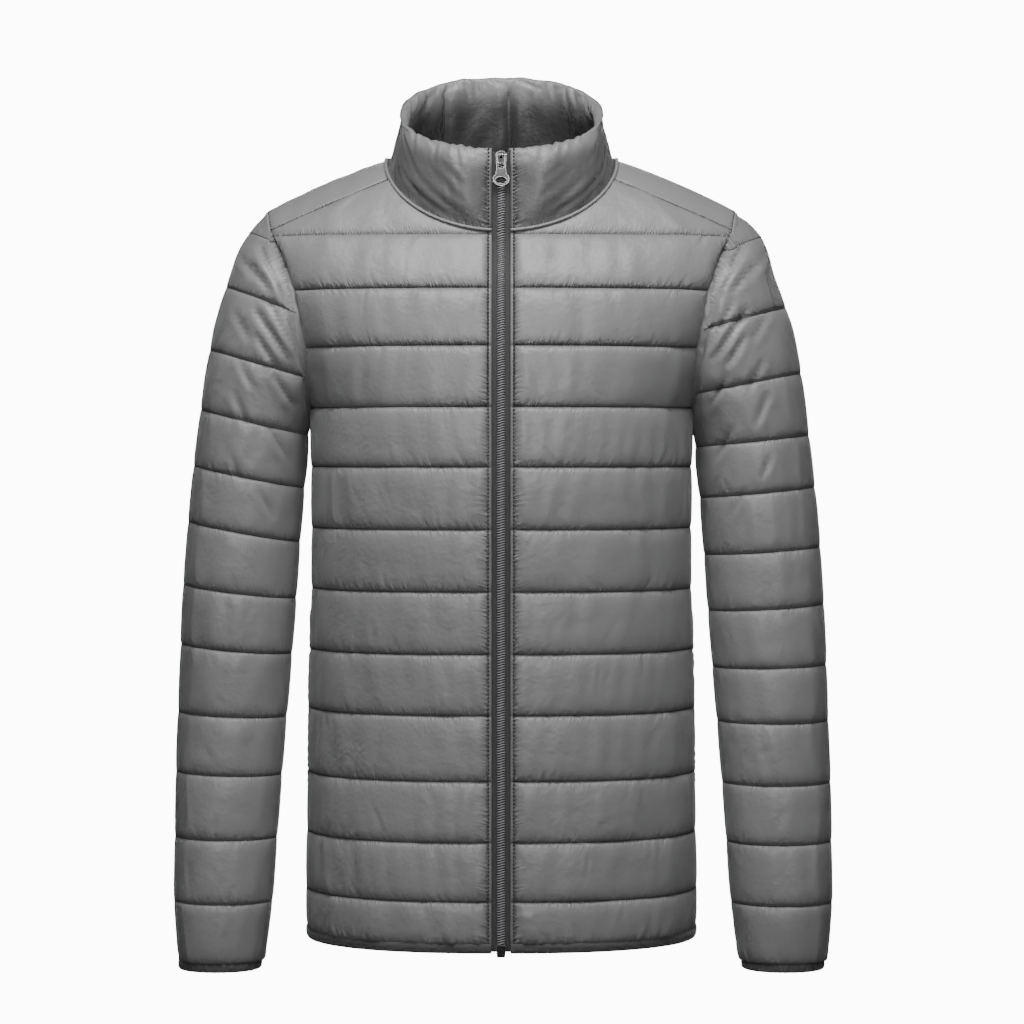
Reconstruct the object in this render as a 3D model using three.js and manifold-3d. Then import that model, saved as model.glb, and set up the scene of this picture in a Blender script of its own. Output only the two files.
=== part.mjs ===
// A light quilted puffer jacket in the shape that it has when it is worn, with nobody in it.
// Millimetres, +Z up. The front faces -Y, and +X is the wearer's left. The origin is the middle of the
// neck opening, level with the high points of the shoulders, where a wearer's neck and shoulders hold it.
// Every cloth piece is one closed wall: a plain inside, and an outside that is raised between quilt seams.
import * as THREE from "three";
import Module from "manifold-3d";

// Driving dimensions
const WALL = 2.5; // two layers of shell cloth and flattened down, at a stitch line
const GAP = 0.3; // between two pieces at a seam
const BODY_LOFT = 6; // how far a baffle stands over its stitch lines
const SLEEVE_LOFT = 5;
const SECTION_POWER = 2.4; // of the superellipse that the body's sections follow
const SLEEVE_POWER = 2.2;
const DOME_POWER = { front: 1.8, back: 2.4 }; // of the curve from the chest or back up to the shoulder
const RIDGE = { top: 22, fall: 0.00953, power: 1.654 }; // of the shoulder line's height, by its distance out
const NECK_HALF = 102; // from the middle to the high point of the shoulder
const NECK_DROP = 67; // from the high point of the shoulder down to the zip
const NECK_RISE = 13; // from there up to the middle of the back neck
const SHOULDER_HALF = 210; // from the middle to the tip of the shoulder
const UNDERARM_Z = -221;
const ARMHOLE_TOP_Z = -44;
const ARMHOLE_DEPTH = { front: 75, back: 80 };
const HEM_Z = -686; // lower edge of the quilted panels, where the binding starts
const BINDING_HEIGHT = 7;
const ZIP_HALF = 8.2; // from the middle to the fronts' folded edges
const SIDE_SEAM_FORWARD = 14; // how far the side seam lies forward of the widest line
const YOKE_CORNER = 74; // degrees round the neckline, from the zip to the forward shoulder seam
const YOKE_END = { x: 204, z: -64 }; // where the forward shoulder seam meets the armhole

// One row for each quilt seam of the body, with the hem last: half width at the side, and how far the
// front and the back lie from the shoulder plane. Above the armhole's foot the half width isn't used.
const BODY = [
  { z: 45, side: 168, front: 66, back: 98 },
  { z: 0, side: 168, front: 86, back: 106 },
  { z: -70, side: 168, front: 93, back: 116 },
  { z: -118, side: 168, front: 115, back: 121 },
  { z: -168, side: 168, front: 128, back: 122 },
  { z: -221, side: 168.5, front: 134, back: 119 },
  { z: -273, side: 168, front: 136, back: 114 },
  { z: -327, side: 167.8, front: 134, back: 109 },
  { z: -381, side: 168.2, front: 131, back: 106 },
  { z: -435, side: 169.4, front: 129, back: 107 },
  { z: -488, side: 170.4, front: 128, back: 109 },
  { z: -545, side: 171.2, front: 128, back: 112 },
  { z: -598, side: 172.2, front: 129, back: 114 },
  { z: -649, side: 173.2, front: 130, back: 115 },
  { z: -686, side: 172.4, front: 130, back: 115 },
  { z: -693, side: 171.4, front: 129, back: 114 },
];
const FIRST_QUILT = 2; // BODY's row of the highest quilt seam
const LAST_PANEL_ROW = 14; // BODY's row of the panels' lower edge

// How far from the middle the armhole seam lies at each height, on the front and on the back.
const ARMHOLE = [
  { z: -44, front: 210, back: 210 },
  { z: -64, front: 204, back: 207 },
  { z: -90, front: 191, back: 201 },
  { z: -122, front: 180.5, back: 193 },
  { z: -161, front: 172.5, back: 184 },
  { z: -192, front: 169.3, back: 174.5 },
  { z: -221, front: 168.5, back: 168.5 },
];

// The sleeve's outer and inner edges in the front view, its half depth, and how far forward it hangs.
const SLEEVE_SHAPE = [
  { z: -44, outer: 210, inner: 169, depth: 74, forward: 0 },
  { z: -63, outer: 225.5, inner: 169, depth: 74, forward: 0 },
  { z: -81, outer: 235, inner: 169, depth: 74, forward: 0 },
  { z: -108, outer: 244.5, inner: 169, depth: 74, forward: 0 },
  { z: -140, outer: 253.5, inner: 170, depth: 74, forward: 0 },
  { z: -168, outer: 259.5, inner: 171, depth: 74, forward: 0 },
  { z: -221, outer: 268.5, inner: 173, depth: 73, forward: 0 },
  { z: -271, outer: 275, inner: 179.5, depth: 70, forward: 0 },
  { z: -320, outer: 280, inner: 184, depth: 66.5, forward: 1 },
  { z: -378, outer: 284.5, inner: 188, depth: 62, forward: 3 },
  { z: -440, outer: 287, inner: 192.5, depth: 57.5, forward: 6 },
  { z: -497, outer: 289, inner: 197.3, depth: 53.5, forward: 9 },
  { z: -550, outer: 290.7, inner: 201.5, depth: 50, forward: 12 },
  { z: -605, outer: 291.5, inner: 205.5, depth: 47, forward: 15 },
  { z: -660, outer: 292.2, inner: 209.3, depth: 44, forward: 18 },
  { z: -695, outer: 291.6, inner: 213.2, depth: 41, forward: 20 },
  { z: -714, outer: 287.6, inner: 216.4, depth: 37, forward: 21 },
  { z: -726, outer: 286.8, inner: 217, depth: 36.4, forward: 21.5 },
];

// The sleeves' quilt seams: height at the outer edge, and fall for each mm inwards. The last is the cuff edge.
const SLEEVE_QUILT = {
  left: [
    { z: -69.5, slope: 0.41 },
    { z: -132, slope: 0.274 },
    { z: -190.5, slope: 0.191 },
    { z: -245.5, slope: 0.1 },
    { z: -291.5, slope: 0.093 },
    { z: -345, slope: 0.066 },
    { z: -396, slope: 0.055 },
    { z: -450, slope: 0.02 },
    { z: -500, slope: 0 },
    { z: -555, slope: 0 },
    { z: -607.5, slope: 0 },
    { z: -661.5, slope: 0 },
    { z: -714, slope: 0 },
  ],
  right: [
    { z: -63.5, slope: 0.467 },
    { z: -112.5, slope: 0.377 },
    { z: -169, slope: 0.284 },
    { z: -222, slope: 0.236 },
    { z: -272, slope: 0.204 },
    { z: -321.5, slope: 0.19 },
    { z: -378, slope: 0.128 },
    { z: -431, slope: 0.092 },
    { z: -491.5, slope: 0.049 },
    { z: -544.5, slope: 0.035 },
    { z: -602.5, slope: 0.016 },
    { z: -659.7, slope: 0.01 },
    { z: -714, slope: 0 },
  ],
};
const ABOVE_CAP = { z: -14, x: 212, slope: 0.52 }; // a plane over the sleeve cap, as a seam above the first
const FIRST_FULL_SEAM = 3; // the first quilt seam that runs all round the sleeve
const PLAIN_INSIDE_SEAMS = [5, 7, 9, 11]; // quilt seams that the plain inside passes without points

// The collar's rim is an ellipse on a slanted plane, lower at the zip than at the back.
const RIM = { half: 89, front: -83, back: 49, frontZ: 2, backZ: 77 };
// Points round the collar's section from the outer foot over the rim to the inner foot: how far up the
// collar, and how far out of its middle line.
const COLLAR_SECTION = [
  { up: 0.08, out: 0 },
  { up: 0.3, out: 4.8 },
  { up: 0.6, out: 5.6 },
  { up: 0.85, out: 4.8 },
  { up: 0.98, out: 2.4 },
  { up: 1.03, out: -1.2 },
  { up: 0.98, out: -4.6 },
  { up: 0.8, out: -6.2 },
  { up: 0.45, out: -5.6 },
  { up: 0.12, out: -3.4 },
];

// Where each baffle has points between its two stitch lines, and how much of its loft they have.
const BAFFLE = [
  { at: 0.13, loft: 0.55 },
  { at: 0.5, loft: 1 },
  { at: 0.87, loft: 0.55 },
];

// Columns of the front, from the zip to the side, and of half the back, from the middle to the side. The
// column named corner runs to the end of the forward shoulder seam at the neck. bow is how far a column of
// the back bends outwards on its way over the shoulder.
const FRONT_COLUMNS = [0, 0.07, 0.16, 0.26, 0.36, 0.45, 0.58, 0.72, 0.87, 1];
const FRONT_CORNER = 5;
const BACK_COLUMNS = [
  { across: 0, bow: 0 },
  { across: 0.07, bow: 0 },
  { across: 0.14, bow: 0 },
  { across: 0.21, bow: 0 },
  { across: 0.28, bow: 4 },
  { across: 0.35, bow: 14 },
  { across: 0.43, bow: 20 },
  { across: 0.51, bow: 20 },
  { across: 0.63, bow: 13 },
  { across: 0.75, bow: 7 },
  { across: 0.88, bow: 4 },
  { across: 1, bow: 5 },
];
const BACK_HIGH_POINT = 5;
const BACK_CORNER = 7;
const EDGE_LOFT = [0, 0.75]; // share of the loft in the first columns from an edge

const SHELL_GREY = 0x7b7b7d;
const BINDING_GREY = 0x47484a;
const METAL_GREY = 0x6f7073;

const V = (x, y, z) => new THREE.Vector3(x, y, z);
const DEGREE = Math.PI / 180;
const clamp = (x, low, high) => Math.min(high, Math.max(low, x));
const mix = (a, b, t) => a + (b - a) * t;
const smooth = (t) => clamp(t, 0, 1) ** 2 * (3 - 2 * clamp(t, 0, 1));
const power = (x, p) => Math.sign(x) * Math.abs(x) ** p;

// A smooth function of z through one column of a table.
function column(table, name) {
  const slope = (i) => {
    const low = table[Math.max(0, i - 1)];
    const high = table[Math.min(table.length - 1, i + 1)];
    return (high[name] - low[name]) / (high.z - low.z);
  };
  return (z) => {
    let i = 0;
    while (i < table.length - 2 && z < table[i + 1].z) i++;
    const [a, b] = [table[i], table[i + 1]];
    const span = b.z - a.z;
    const t = clamp((z - a.z) / span, 0, 1);
    const bend = t * t * (3 - 2 * t);
    const pull = slope(i) * span * t * (1 - t) ** 2 - slope(i + 1) * span * t * t * (1 - t);
    return mix(a[name], b[name], bend) + pull;
  };
}

// The body's surface
const sideHalf = column(BODY, "side");
const depthOf = { front: column(BODY, "front"), back: column(BODY, "back") };
const armholeX = { front: column(ARMHOLE, "front"), back: column(ARMHOLE, "back") };
const ridgeZ = (x) => RIDGE.top - RIDGE.fall * Math.abs(x) ** RIDGE.power;
const domeHeight = (x) => mix(100, 62, clamp((Math.abs(x) - NECK_HALF) / (SHOULDER_HALF - NECK_HALF), 0, 1));
function roof(x, z, face) {
  const left = 1 - clamp((ridgeZ(x) - z) / domeHeight(x), 0, 1);
  return (1 - left ** DOME_POWER[face]) ** (1 / DOME_POWER[face]);
}

// How far the armhole seam lies forward or back of the shoulder plane.
function armholeY(z, face) {
  const middle = (ARMHOLE_TOP_Z + UNDERARM_Z) / 2;
  const half = (ARMHOLE_TOP_Z - UNDERARM_Z) / 2;
  return ARMHOLE_DEPTH[face] * Math.sqrt(Math.max(0, 1 - ((z - middle) / half) ** 2));
}

// The half width that the body's section would have without its armholes, so that it passes through them.
function fullHalf(z, face) {
  if (z <= UNDERARM_Z) return sideHalf(z);
  const level = Math.min(z, YOKE_END.z);
  const x = armholeX[face](level);
  const share = armholeY(level, face) / (depthOf[face](level) * roof(x, level, face));
  return x / (1 - share ** SECTION_POWER) ** (1 / SECTION_POWER);
}

// The body's point at x and z on one face.
function bodyPoint(x, z, face) {
  const share = Math.min(1, Math.abs(x) / fullHalf(z, face));
  const y = depthOf[face](z) * (1 - share ** SECTION_POWER) ** (1 / SECTION_POWER) * roof(x, z, face);
  return V(x, face === "front" ? -y : y, z);
}

// A section's angle from the middle of its face, as it is at x.
const angleAt = (x, z, face) => Math.asin(Math.min(1, (x / fullHalf(z, face)) ** (SECTION_POWER / 2)));
const xAt = (angle, z, face) => fullHalf(z, face) * power(Math.sin(angle), 2 / SECTION_POWER);

// The angle of the side seam or the armhole, from the middle of the front.
function frontEdgeAngle(z) {
  if (z > UNDERARM_Z) return angleAt(armholeX.front(z), z, "front");
  const forward = SIDE_SEAM_FORWARD * smooth((UNDERARM_Z - z) / 160);
  return Math.acos((forward / depthOf.front(z)) ** (SECTION_POWER / 2));
}

// Places on the shoulder dome: x, and a turn that is 0 on the ridge, 1 at the dome's foot behind it and -1
// in front.
function turnAt(x, z, face) {
  const fall = (ridgeZ(x) - z) / domeHeight(x);
  if (fall >= 1) return 1 + 0.6 * (fall - 1);
  return Math.acos((1 - Math.max(0, fall)) ** (DOME_POWER[face] / 2)) / (90 * DEGREE);
}
function domePoint(x, turn) {
  const [size, face] = [Math.abs(turn), turn < 0 ? "front" : "back"];
  const swung = 1 - Math.cos(size * 90 * DEGREE) ** (2 / DOME_POWER[face]);
  const fall = size > 1 ? 1 + (size - 1) / 0.6 : swung;
  return bodyPoint(x, ridgeZ(x) - domeHeight(x) * fall, face);
}

// The neckline's front half, by its angle from the zip, and the forward shoulder seam from the neck outwards.
const neckFront = (angle) => ({
  x: NECK_HALF * Math.sin(angle * DEGREE),
  z: -NECK_DROP * Math.cos(angle * DEGREE),
});
const YOKE_START = neckFront(YOKE_CORNER);
const yokeSeam = (t) => ({ x: mix(YOKE_START.x, YOKE_END.x, t), z: mix(YOKE_START.z, YOKE_END.z, t) });

// The top edge of the front at one of its columns.
function frontTop(c) {
  if (c > FRONT_CORNER) return yokeSeam((c - FRONT_CORNER) / (FRONT_COLUMNS.length - 1 - FRONT_CORNER));
  const start = Math.asin(ZIP_HALF / NECK_HALF) / DEGREE;
  return neckFront(mix(start, YOKE_CORNER, c / FRONT_CORNER));
}

// The top edge of the back at one of its columns, as a place on the dome.
function backTop(c) {
  if (c > BACK_HIGH_POINT) {
    const round = mix(90, YOKE_CORNER, (c - BACK_HIGH_POINT) / (BACK_CORNER - BACK_HIGH_POINT));
    const out = (c - BACK_CORNER) / (BACK_COLUMNS.length - 1 - BACK_CORNER);
    const { x, z } = out > 0 ? yokeSeam(out) : neckFront(round);
    return { x, turn: -turnAt(x, z, "front") };
  }
  const swing = (c / BACK_HIGH_POINT) * 90 * DEGREE;
  return { x: NECK_HALF * Math.sin(swing), turn: turnAt(0, NECK_RISE, "back") * Math.cos(swing) };
}

// Rows of the panels from the hem up to the first quilt seam: height, share of the loft, and whether the
// plain inside has points there too.
function panelRows() {
  const rows = [];
  for (let i = LAST_PANEL_ROW; i > FIRST_QUILT; i--) {
    const [low, high] = [BODY[i].z, BODY[i - 1].z];
    const inArmhole = low >= UNDERARM_Z;
    rows.push({ z: low, loft: 0, inside: true });
    for (const { at, loft } of BAFFLE) rows.push({ z: mix(low, high, at), loft, inside: inArmhole });
  }
  rows.push({ z: BODY[FIRST_QUILT].z, loft: 0, inside: true });
  return rows;
}
const ROWS = panelRows();
const FRONT_TOP_ROWS = [
  { up: 0.5, loft: 0.7, inside: true },
  { up: 1, loft: 0, inside: true },
];
const BACK_TOP_ROWS = [0.16, 0.34, 0.52, 0.7, 0.86, 1].map((up) => ({
  up,
  loft: up === 1 ? 0 : 0.7,
  inside: true,
}));

// The front on the wearer's left, as rows of points on the surface through its stitch lines.
function frontGrid() {
  const grid = ROWS.map(({ z }) => {
    const start = angleAt(ZIP_HALF, z, "front");
    const end = frontEdgeAngle(z);
    return FRONT_COLUMNS.map((u) => {
      const angle = mix(start, end, u);
      const x = xAt(angle, z, "front");
      const y = depthOf.front(z) * power(Math.cos(angle), 2 / SECTION_POWER) * roof(x, z, "front");
      return V(x, -y, z);
    });
  });
  const quilt = grid[grid.length - 1];
  for (const { up } of FRONT_TOP_ROWS)
    grid.push(
      FRONT_COLUMNS.map((u, c) => {
        const top = frontTop(c);
        return bodyPoint(mix(quilt[c].x, top.x, up), mix(quilt[c].z, top.z, up), "front");
      }),
    );
  return grid;
}

// The back, from the wearer's right to the left, up over the shoulders to the forward shoulder seams.
function backGrid() {
  const half = ROWS.map(({ z }) => {
    const armhole = z > UNDERARM_Z;
    const end = armhole ? angleAt(armholeX.back(z), z, "back") : 180 * DEGREE - frontEdgeAngle(z);
    return BACK_COLUMNS.map(({ across }) => {
      const angle = end * across;
      const face = angle > 90 * DEGREE ? "front" : "back";
      const x = xAt(angle, z, face);
      const y = depthOf[face](z) * power(Math.cos(angle), 2 / SECTION_POWER) * roof(x, z, face);
      return V(x, y, z);
    });
  });
  const quilt = half[half.length - 1];
  for (const { up } of BACK_TOP_ROWS)
    half.push(
      BACK_COLUMNS.map(({ bow }, c) => {
        const top = backTop(c);
        const turn = mix(turnAt(quilt[c].x, quilt[c].z, "back"), top.turn, up);
        return domePoint(mix(quilt[c].x, top.x, up) + 4 * up * (1 - up) * bow, turn);
      }),
    );
  return half.map((row) => [...row.slice(1).reverse().map(mirrored), ...row]);
}

const mirrored = (p) => V(-p.x, p.y, p.z);
const key = (p) => [p.x, p.y, p.z].map((n) => Math.round(n * 100) || 0).join();

// The outward normal at every point of some grids, which share the points on their common seams.
function normalsOf(grids) {
  const sums = new Map();
  const add = (p, n) => sums.set(key(p), (sums.get(key(p)) ?? V(0, 0, 0)).add(n));
  for (const { grid, flip } of grids)
    for (let r = 0; r + 1 < grid.length; r++)
      for (let c = 0; c + 1 < grid[r].length; c++) {
        const corners = [grid[r][c], grid[r][c + 1], grid[r + 1][c + 1], grid[r + 1][c]];
        const across = corners[2].clone().sub(corners[0]);
        const n = across.cross(corners[3].clone().sub(corners[1])).multiplyScalar(flip ? -1 : 1);
        for (const p of corners) add(p, n);
      }
  return (p) => sums.get(key(p)).clone().normalize();
}

// Geometry from points and triangles, turned to face outwards. A triangle with a repeated point is dropped.
function geometry(points, triangles) {
  const kept = triangles.filter(([a, b, c]) => a !== b && b !== c && c !== a);
  let volume = 0;
  for (const [a, b, c] of kept) volume += points[a].dot(points[b].clone().cross(points[c]));
  const faces = volume < 0 ? kept.map(([a, b, c]) => [a, c, b]) : kept;
  return new THREE.BufferGeometry()
    .setAttribute("position", new THREE.Float32BufferAttribute(points.flatMap((p) => p.toArray()), 3))
    .setIndex(faces.flat());
}

// Triangles between two lines of points that run side by side. Each line lists [place along it, index].
function between(a, b) {
  const found = [];
  let [i, j] = [0, 0];
  while (i < a.length - 1 || j < b.length - 1) {
    const stepA = j === b.length - 1 || (i < a.length - 1 && a[i + 1][0] <= b[j + 1][0]);
    if (stepA) found.push([a[i][1], a[i + 1][1], b[j][1]]);
    else found.push([a[i][1], b[j + 1][1], b[j][1]]);
    if (stepA) i++;
    else j++;
  }
  return found;
}

const quad = (a, b, c, d) => [
  [a, b, c],
  [a, c, d],
];

// A wall between an outer and an inner grid of the same rows and columns. The inner face uses only the rows
// listed in insideRows.
function wall(outer, inner, insideRows) {
  const [rows, columns] = [outer.length, outer[0].length];
  const out = (r, c) => r * columns + c;
  const inn = (r, c) => (rows + r) * columns + c;
  const triangles = [];
  for (let r = 0; r + 1 < rows; r++)
    for (let c = 0; c + 1 < columns; c++)
      triangles.push(...quad(out(r, c), out(r, c + 1), out(r + 1, c + 1), out(r + 1, c)));
  for (let k = 0; k + 1 < insideRows.length; k++)
    for (let c = 0; c + 1 < columns; c++) {
      const [r, s] = [insideRows[k], insideRows[k + 1]];
      triangles.push(...quad(inn(r, c), inn(s, c), inn(s, c + 1), inn(r, c + 1)));
    }
  const all = outer.map((_, r) => r);
  const side = (c) => between(all.map((r) => [r, out(r, c)]), insideRows.map((r) => [r, inn(r, c)]));
  triangles.push(...side(0));
  triangles.push(...side(columns - 1).map(([a, b, c]) => [a, c, b]));
  for (let c = 0; c + 1 < columns; c++) {
    triangles.push(...quad(out(0, c), inn(0, c), inn(0, c + 1), out(0, c + 1)));
    triangles.push(...quad(out(rows - 1, c), out(rows - 1, c + 1), inn(rows - 1, c + 1), inn(rows - 1, c)));
  }
  return geometry([...outer.flat(), ...inner.flat()], triangles);
}

// A panel's wall. facing gives the way out of the cloth at a point of the grid, and loft the share of loft.
// Each edge moves in by half the gap, square to the edge and to the way out.
function panel(grid, rows, facing, columnLoft) {
  const [last, end] = [grid.length - 1, grid[0].length - 1];
  const inset = (p, along, inwards) => {
    const way = along.clone().cross(facing(p)).normalize();
    return way.multiplyScalar(way.dot(inwards) < 0 ? -GAP / 2 : GAP / 2);
  };
  const line = (a, b) => b.clone().sub(a);
  const moved = grid.map((row, r) =>
    row.map((p, c) => {
      const shift = V(0, 0, 0);
      const [down, up] = [grid[Math.max(0, r - 1)][c], grid[Math.min(last, r + 1)][c]];
      const [before, after] = [row[Math.max(0, c - 1)], row[Math.min(end, c + 1)]];
      if (c === 0 || c === end) shift.add(inset(p, line(down, up), line(p, c ? before : after)));
      if (r === 0 || r === last) shift.add(inset(p, line(before, after), line(p, r ? down : up)));
      return p.clone().add(shift);
    }),
  );
  const outer = moved.map((row, r) =>
    row.map((p, c) => p.clone().addScaledVector(facing(grid[r][c]), BODY_LOFT * rows[r].loft * columnLoft(c))),
  );
  const inner = moved.map((row, r) => row.map((p, c) => p.clone().addScaledVector(facing(grid[r][c]), -WALL)));
  const insideRows = rows.map((row, r) => (row.inside ? r : -1)).filter((r) => r >= 0);
  return wall(outer, inner, insideRows);
}

// Body panels and the seams that sleeves and collar start from
const frontLeft = frontGrid();
const frontRight = frontLeft.map((row) => row.map(mirrored));
const back = backGrid();
const bodyNormal = normalsOf([
  { grid: frontLeft },
  { grid: frontRight, flip: true },
  { grid: back, flip: true },
]);
const FRONT_ROWS = [...ROWS, ...FRONT_TOP_ROWS];
const BACK_ROWS = [...ROWS, ...BACK_TOP_ROWS];
const underarmRow = ROWS.findIndex(({ z }) => z === UNDERARM_Z);

// The left armhole, from the underarm up the front, over the shoulder and down the back.
function armholeLoop() {
  const end = FRONT_COLUMNS.length - 1;
  const side = back[0].length - 1;
  const up = frontLeft.slice(underarmRow, ROWS.length).map((row) => row[end]);
  const over = back.slice(ROWS.length).map((row) => row[side]);
  const down = back.slice(underarmRow + 1, ROWS.length).map((row) => row[side]);
  return [...up, ...[...down, ...over].reverse()];
}

// The neckline from the right side of the zip round the back to its left side.
function neckLine() {
  const front = frontLeft[frontLeft.length - 1].slice(0, FRONT_CORNER + 1);
  const top = back[back.length - 1];
  const middle = (top.length - 1) / 2;
  const behind = top.slice(middle - BACK_CORNER + 1, middle + BACK_CORNER);
  return [...front.map(mirrored), ...behind, ...front.slice().reverse()];
}

// At each point of a seam: the way that the new piece leaves it, the way out of the cloth there, which halves
// the angle between the two pieces, and the way across from the old piece to the new one. side is 1 where
// the way out is on the right of a walk along the seam with the new piece ahead, and -1 where it's on the left.
function seam(points, closed, side, leaves, extra) {
  const n = points.length;
  const at = (i) => points[closed ? (i + n) % n : clamp(i, 0, n - 1)];
  return points.map((p, i) => {
    const tangent = at(i + 1).clone().sub(at(i - 1)).normalize();
    const go = leaves(p, i);
    const normal = tangent.clone().cross(go).normalize().multiplyScalar(side);
    const out = bodyNormal(p).add(normal).add(extra(p)).normalize();
    const across = tangent.clone().cross(out).normalize();
    if (across.dot(go) < 0) across.negate();
    return { p, go, out, across };
  });
}

// Sleeves
const sleeveOuter = column(SLEEVE_SHAPE, "outer");
const sleeveInner = column(SLEEVE_SHAPE, "inner");
const sleeveDepth = column(SLEEVE_SHAPE, "depth");
const sleeveForward = column(SLEEVE_SHAPE, "forward");

// How far round the armhole a point is, as the cosine and sine of its angle from the shoulder tip.
function roundArmhole(p) {
  const middle = (ARMHOLE_TOP_Z + UNDERARM_Z) / 2;
  const half = (ARMHOLE_TOP_Z - UNDERARM_Z) / 2;
  const face = p.y < 0 ? "front" : "back";
  const [c, s] = [(p.z - middle) / half, -p.y / ARMHOLE_DEPTH[face]];
  const size = Math.hypot(c, s);
  return { c: c / size, s: s / size };
}
const ARMHOLE_SEAM = seam(
  armholeLoop(),
  true,
  1,
  (p) => {
    const { c, s } = roundArmhole(p);
    return V(0.14 + 0.24 * (1 + c), -0.2 * s, -0.75).normalize();
  },
  (p) => V(0, 0, -0.25 * smooth((-170 - p.z) / 50)),
);
const TOP_OF_ARMHOLE = ARMHOLE_SEAM.reduce((top, { p }, i, all) => (p.z > all[top].p.z ? i : top), 0);

// The collar's rim, by the angle round it from the zip
function rimPoint(angle) {
  const [middle, half] = [(RIM.front + RIM.back) / 2, (RIM.back - RIM.front) / 2];
  const z = mix(RIM.frontZ, RIM.backZ, (1 - Math.cos(angle)) / 2);
  return V(RIM.half * Math.sin(angle), middle - half * Math.cos(angle), z);
}

// The rim's point over each point of the neckline
function rimOver(line) {
  const steps = line.map((p, i) => (i ? p.distanceTo(line[i - 1]) : 0));
  const length = steps.reduce((a, b) => a + b);
  const edge = Math.asin(ZIP_HALF / RIM.half);
  let run = 0;
  return line.map((_, i) => {
    run += steps[i];
    return rimPoint(mix(-edge, -360 * DEGREE + edge, run / length));
  });
}
const NECK_LINE = neckLine();
const RIM_LINE = rimOver(NECK_LINE);
const NECK_SEAM = seam(NECK_LINE, false, -1, (p, i) => RIM_LINE[i].clone().sub(p).normalize(), () => V(0, 0, 0));

// The panels end on the way out that the armhole and neck seams share.
const seamOut = new Map([...ARMHOLE_SEAM, ...NECK_SEAM].flatMap(({ p, out }) => [
  [key(mirrored(p)), mirrored(out)],
  [key(p), out],
]));

// One point of a quilt seam's ring, by its angle from the outer edge, which is the front at a quarter turn.
function ringPoint(ring, angle) {
  const across = power(Math.cos(angle), 2 / SLEEVE_POWER);
  const along = power(Math.sin(angle), 2 / SLEEVE_POWER);
  const innerZ = ring.z - ring.slope * (sleeveOuter(ring.z) - sleeveInner(ring.z));
  const [outerX, innerX] = [sleeveOuter(ring.z), sleeveInner(innerZ)];
  const z = mix(ring.z, innerZ, (1 - across) / 2);
  const x = mix(outerX, innerX, (1 - across) / 2);
  return V(x, -sleeveForward(z) - sleeveDepth(z) * along, z);
}

// How far above a quilt seam's plane a point is.
const overSeam = (p, ring) => p.z - ring.z - ring.slope * (p.x - (ring.x ?? sleeveOuter(ring.z)));

// How many quilt seams a point of the sleeve lies below the first one, with the fraction between two.
function seamsDown(p, rings) {
  const all = [ABOVE_CAP, ...rings];
  let i = 0;
  while (i < all.length - 2 && overSeam(p, all[i + 1]) < 0) i++;
  const [over, under] = [overSeam(p, all[i]), overSeam(p, all[i + 1])];
  return i - 1 + over / (over - under);
}

// The sleeve's columns: each a curve from the armhole seam to the first full ring, and on down the rings.
function sleeveColumns(rings) {
  const starts = ARMHOLE_SEAM.map(({ p, across }) => p.clone().addScaledVector(across, GAP / 2));
  const steps = starts.map((p, i) => p.distanceTo(starts[(i + 1) % starts.length]));
  const total = steps.reduce((a, b) => a + b);
  let run = 0;
  return starts.map((p, i) => {
    const angle = 180 * DEGREE - (360 * DEGREE * run) / total;
    run += steps[i];
    const join = ringPoint(rings[FIRST_FULL_SEAM], angle);
    const below = ringPoint(rings[FIRST_FULL_SEAM + 1], angle);
    const reach = p.distanceTo(join);
    const [pull, push] = [
      ARMHOLE_SEAM[i].go.clone().multiplyScalar(reach),
      below.clone().sub(join).normalize().multiplyScalar(reach),
    ];
    const curve = (t) =>
      p
        .clone()
        .multiplyScalar((1 + 2 * t) * (1 - t) ** 2)
        .addScaledVector(pull, t * (1 - t) ** 2)
        .addScaledVector(join, t * t * (3 - 2 * t))
        .addScaledVector(push, t * t * (t - 1));
    const first = seamsDown(p, rings);
    const pointAt = (down) => {
      if (down <= first) return p.clone();
      if (down >= FIRST_FULL_SEAM) {
        const k = Math.min(rings.length - 2, Math.floor(down));
        return ringPoint(rings[k], angle).lerp(ringPoint(rings[k + 1], angle), down - k);
      }
      let [low, high] = [0, 1];
      for (let n = 0; n < 30; n++) {
        const middle = (low + high) / 2;
        if (seamsDown(curve(middle), rings) < down) low = middle;
        else high = middle;
      }
      return curve((low + high) / 2);
    };
    return { start: p, first, pointAt };
  });
}

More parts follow.
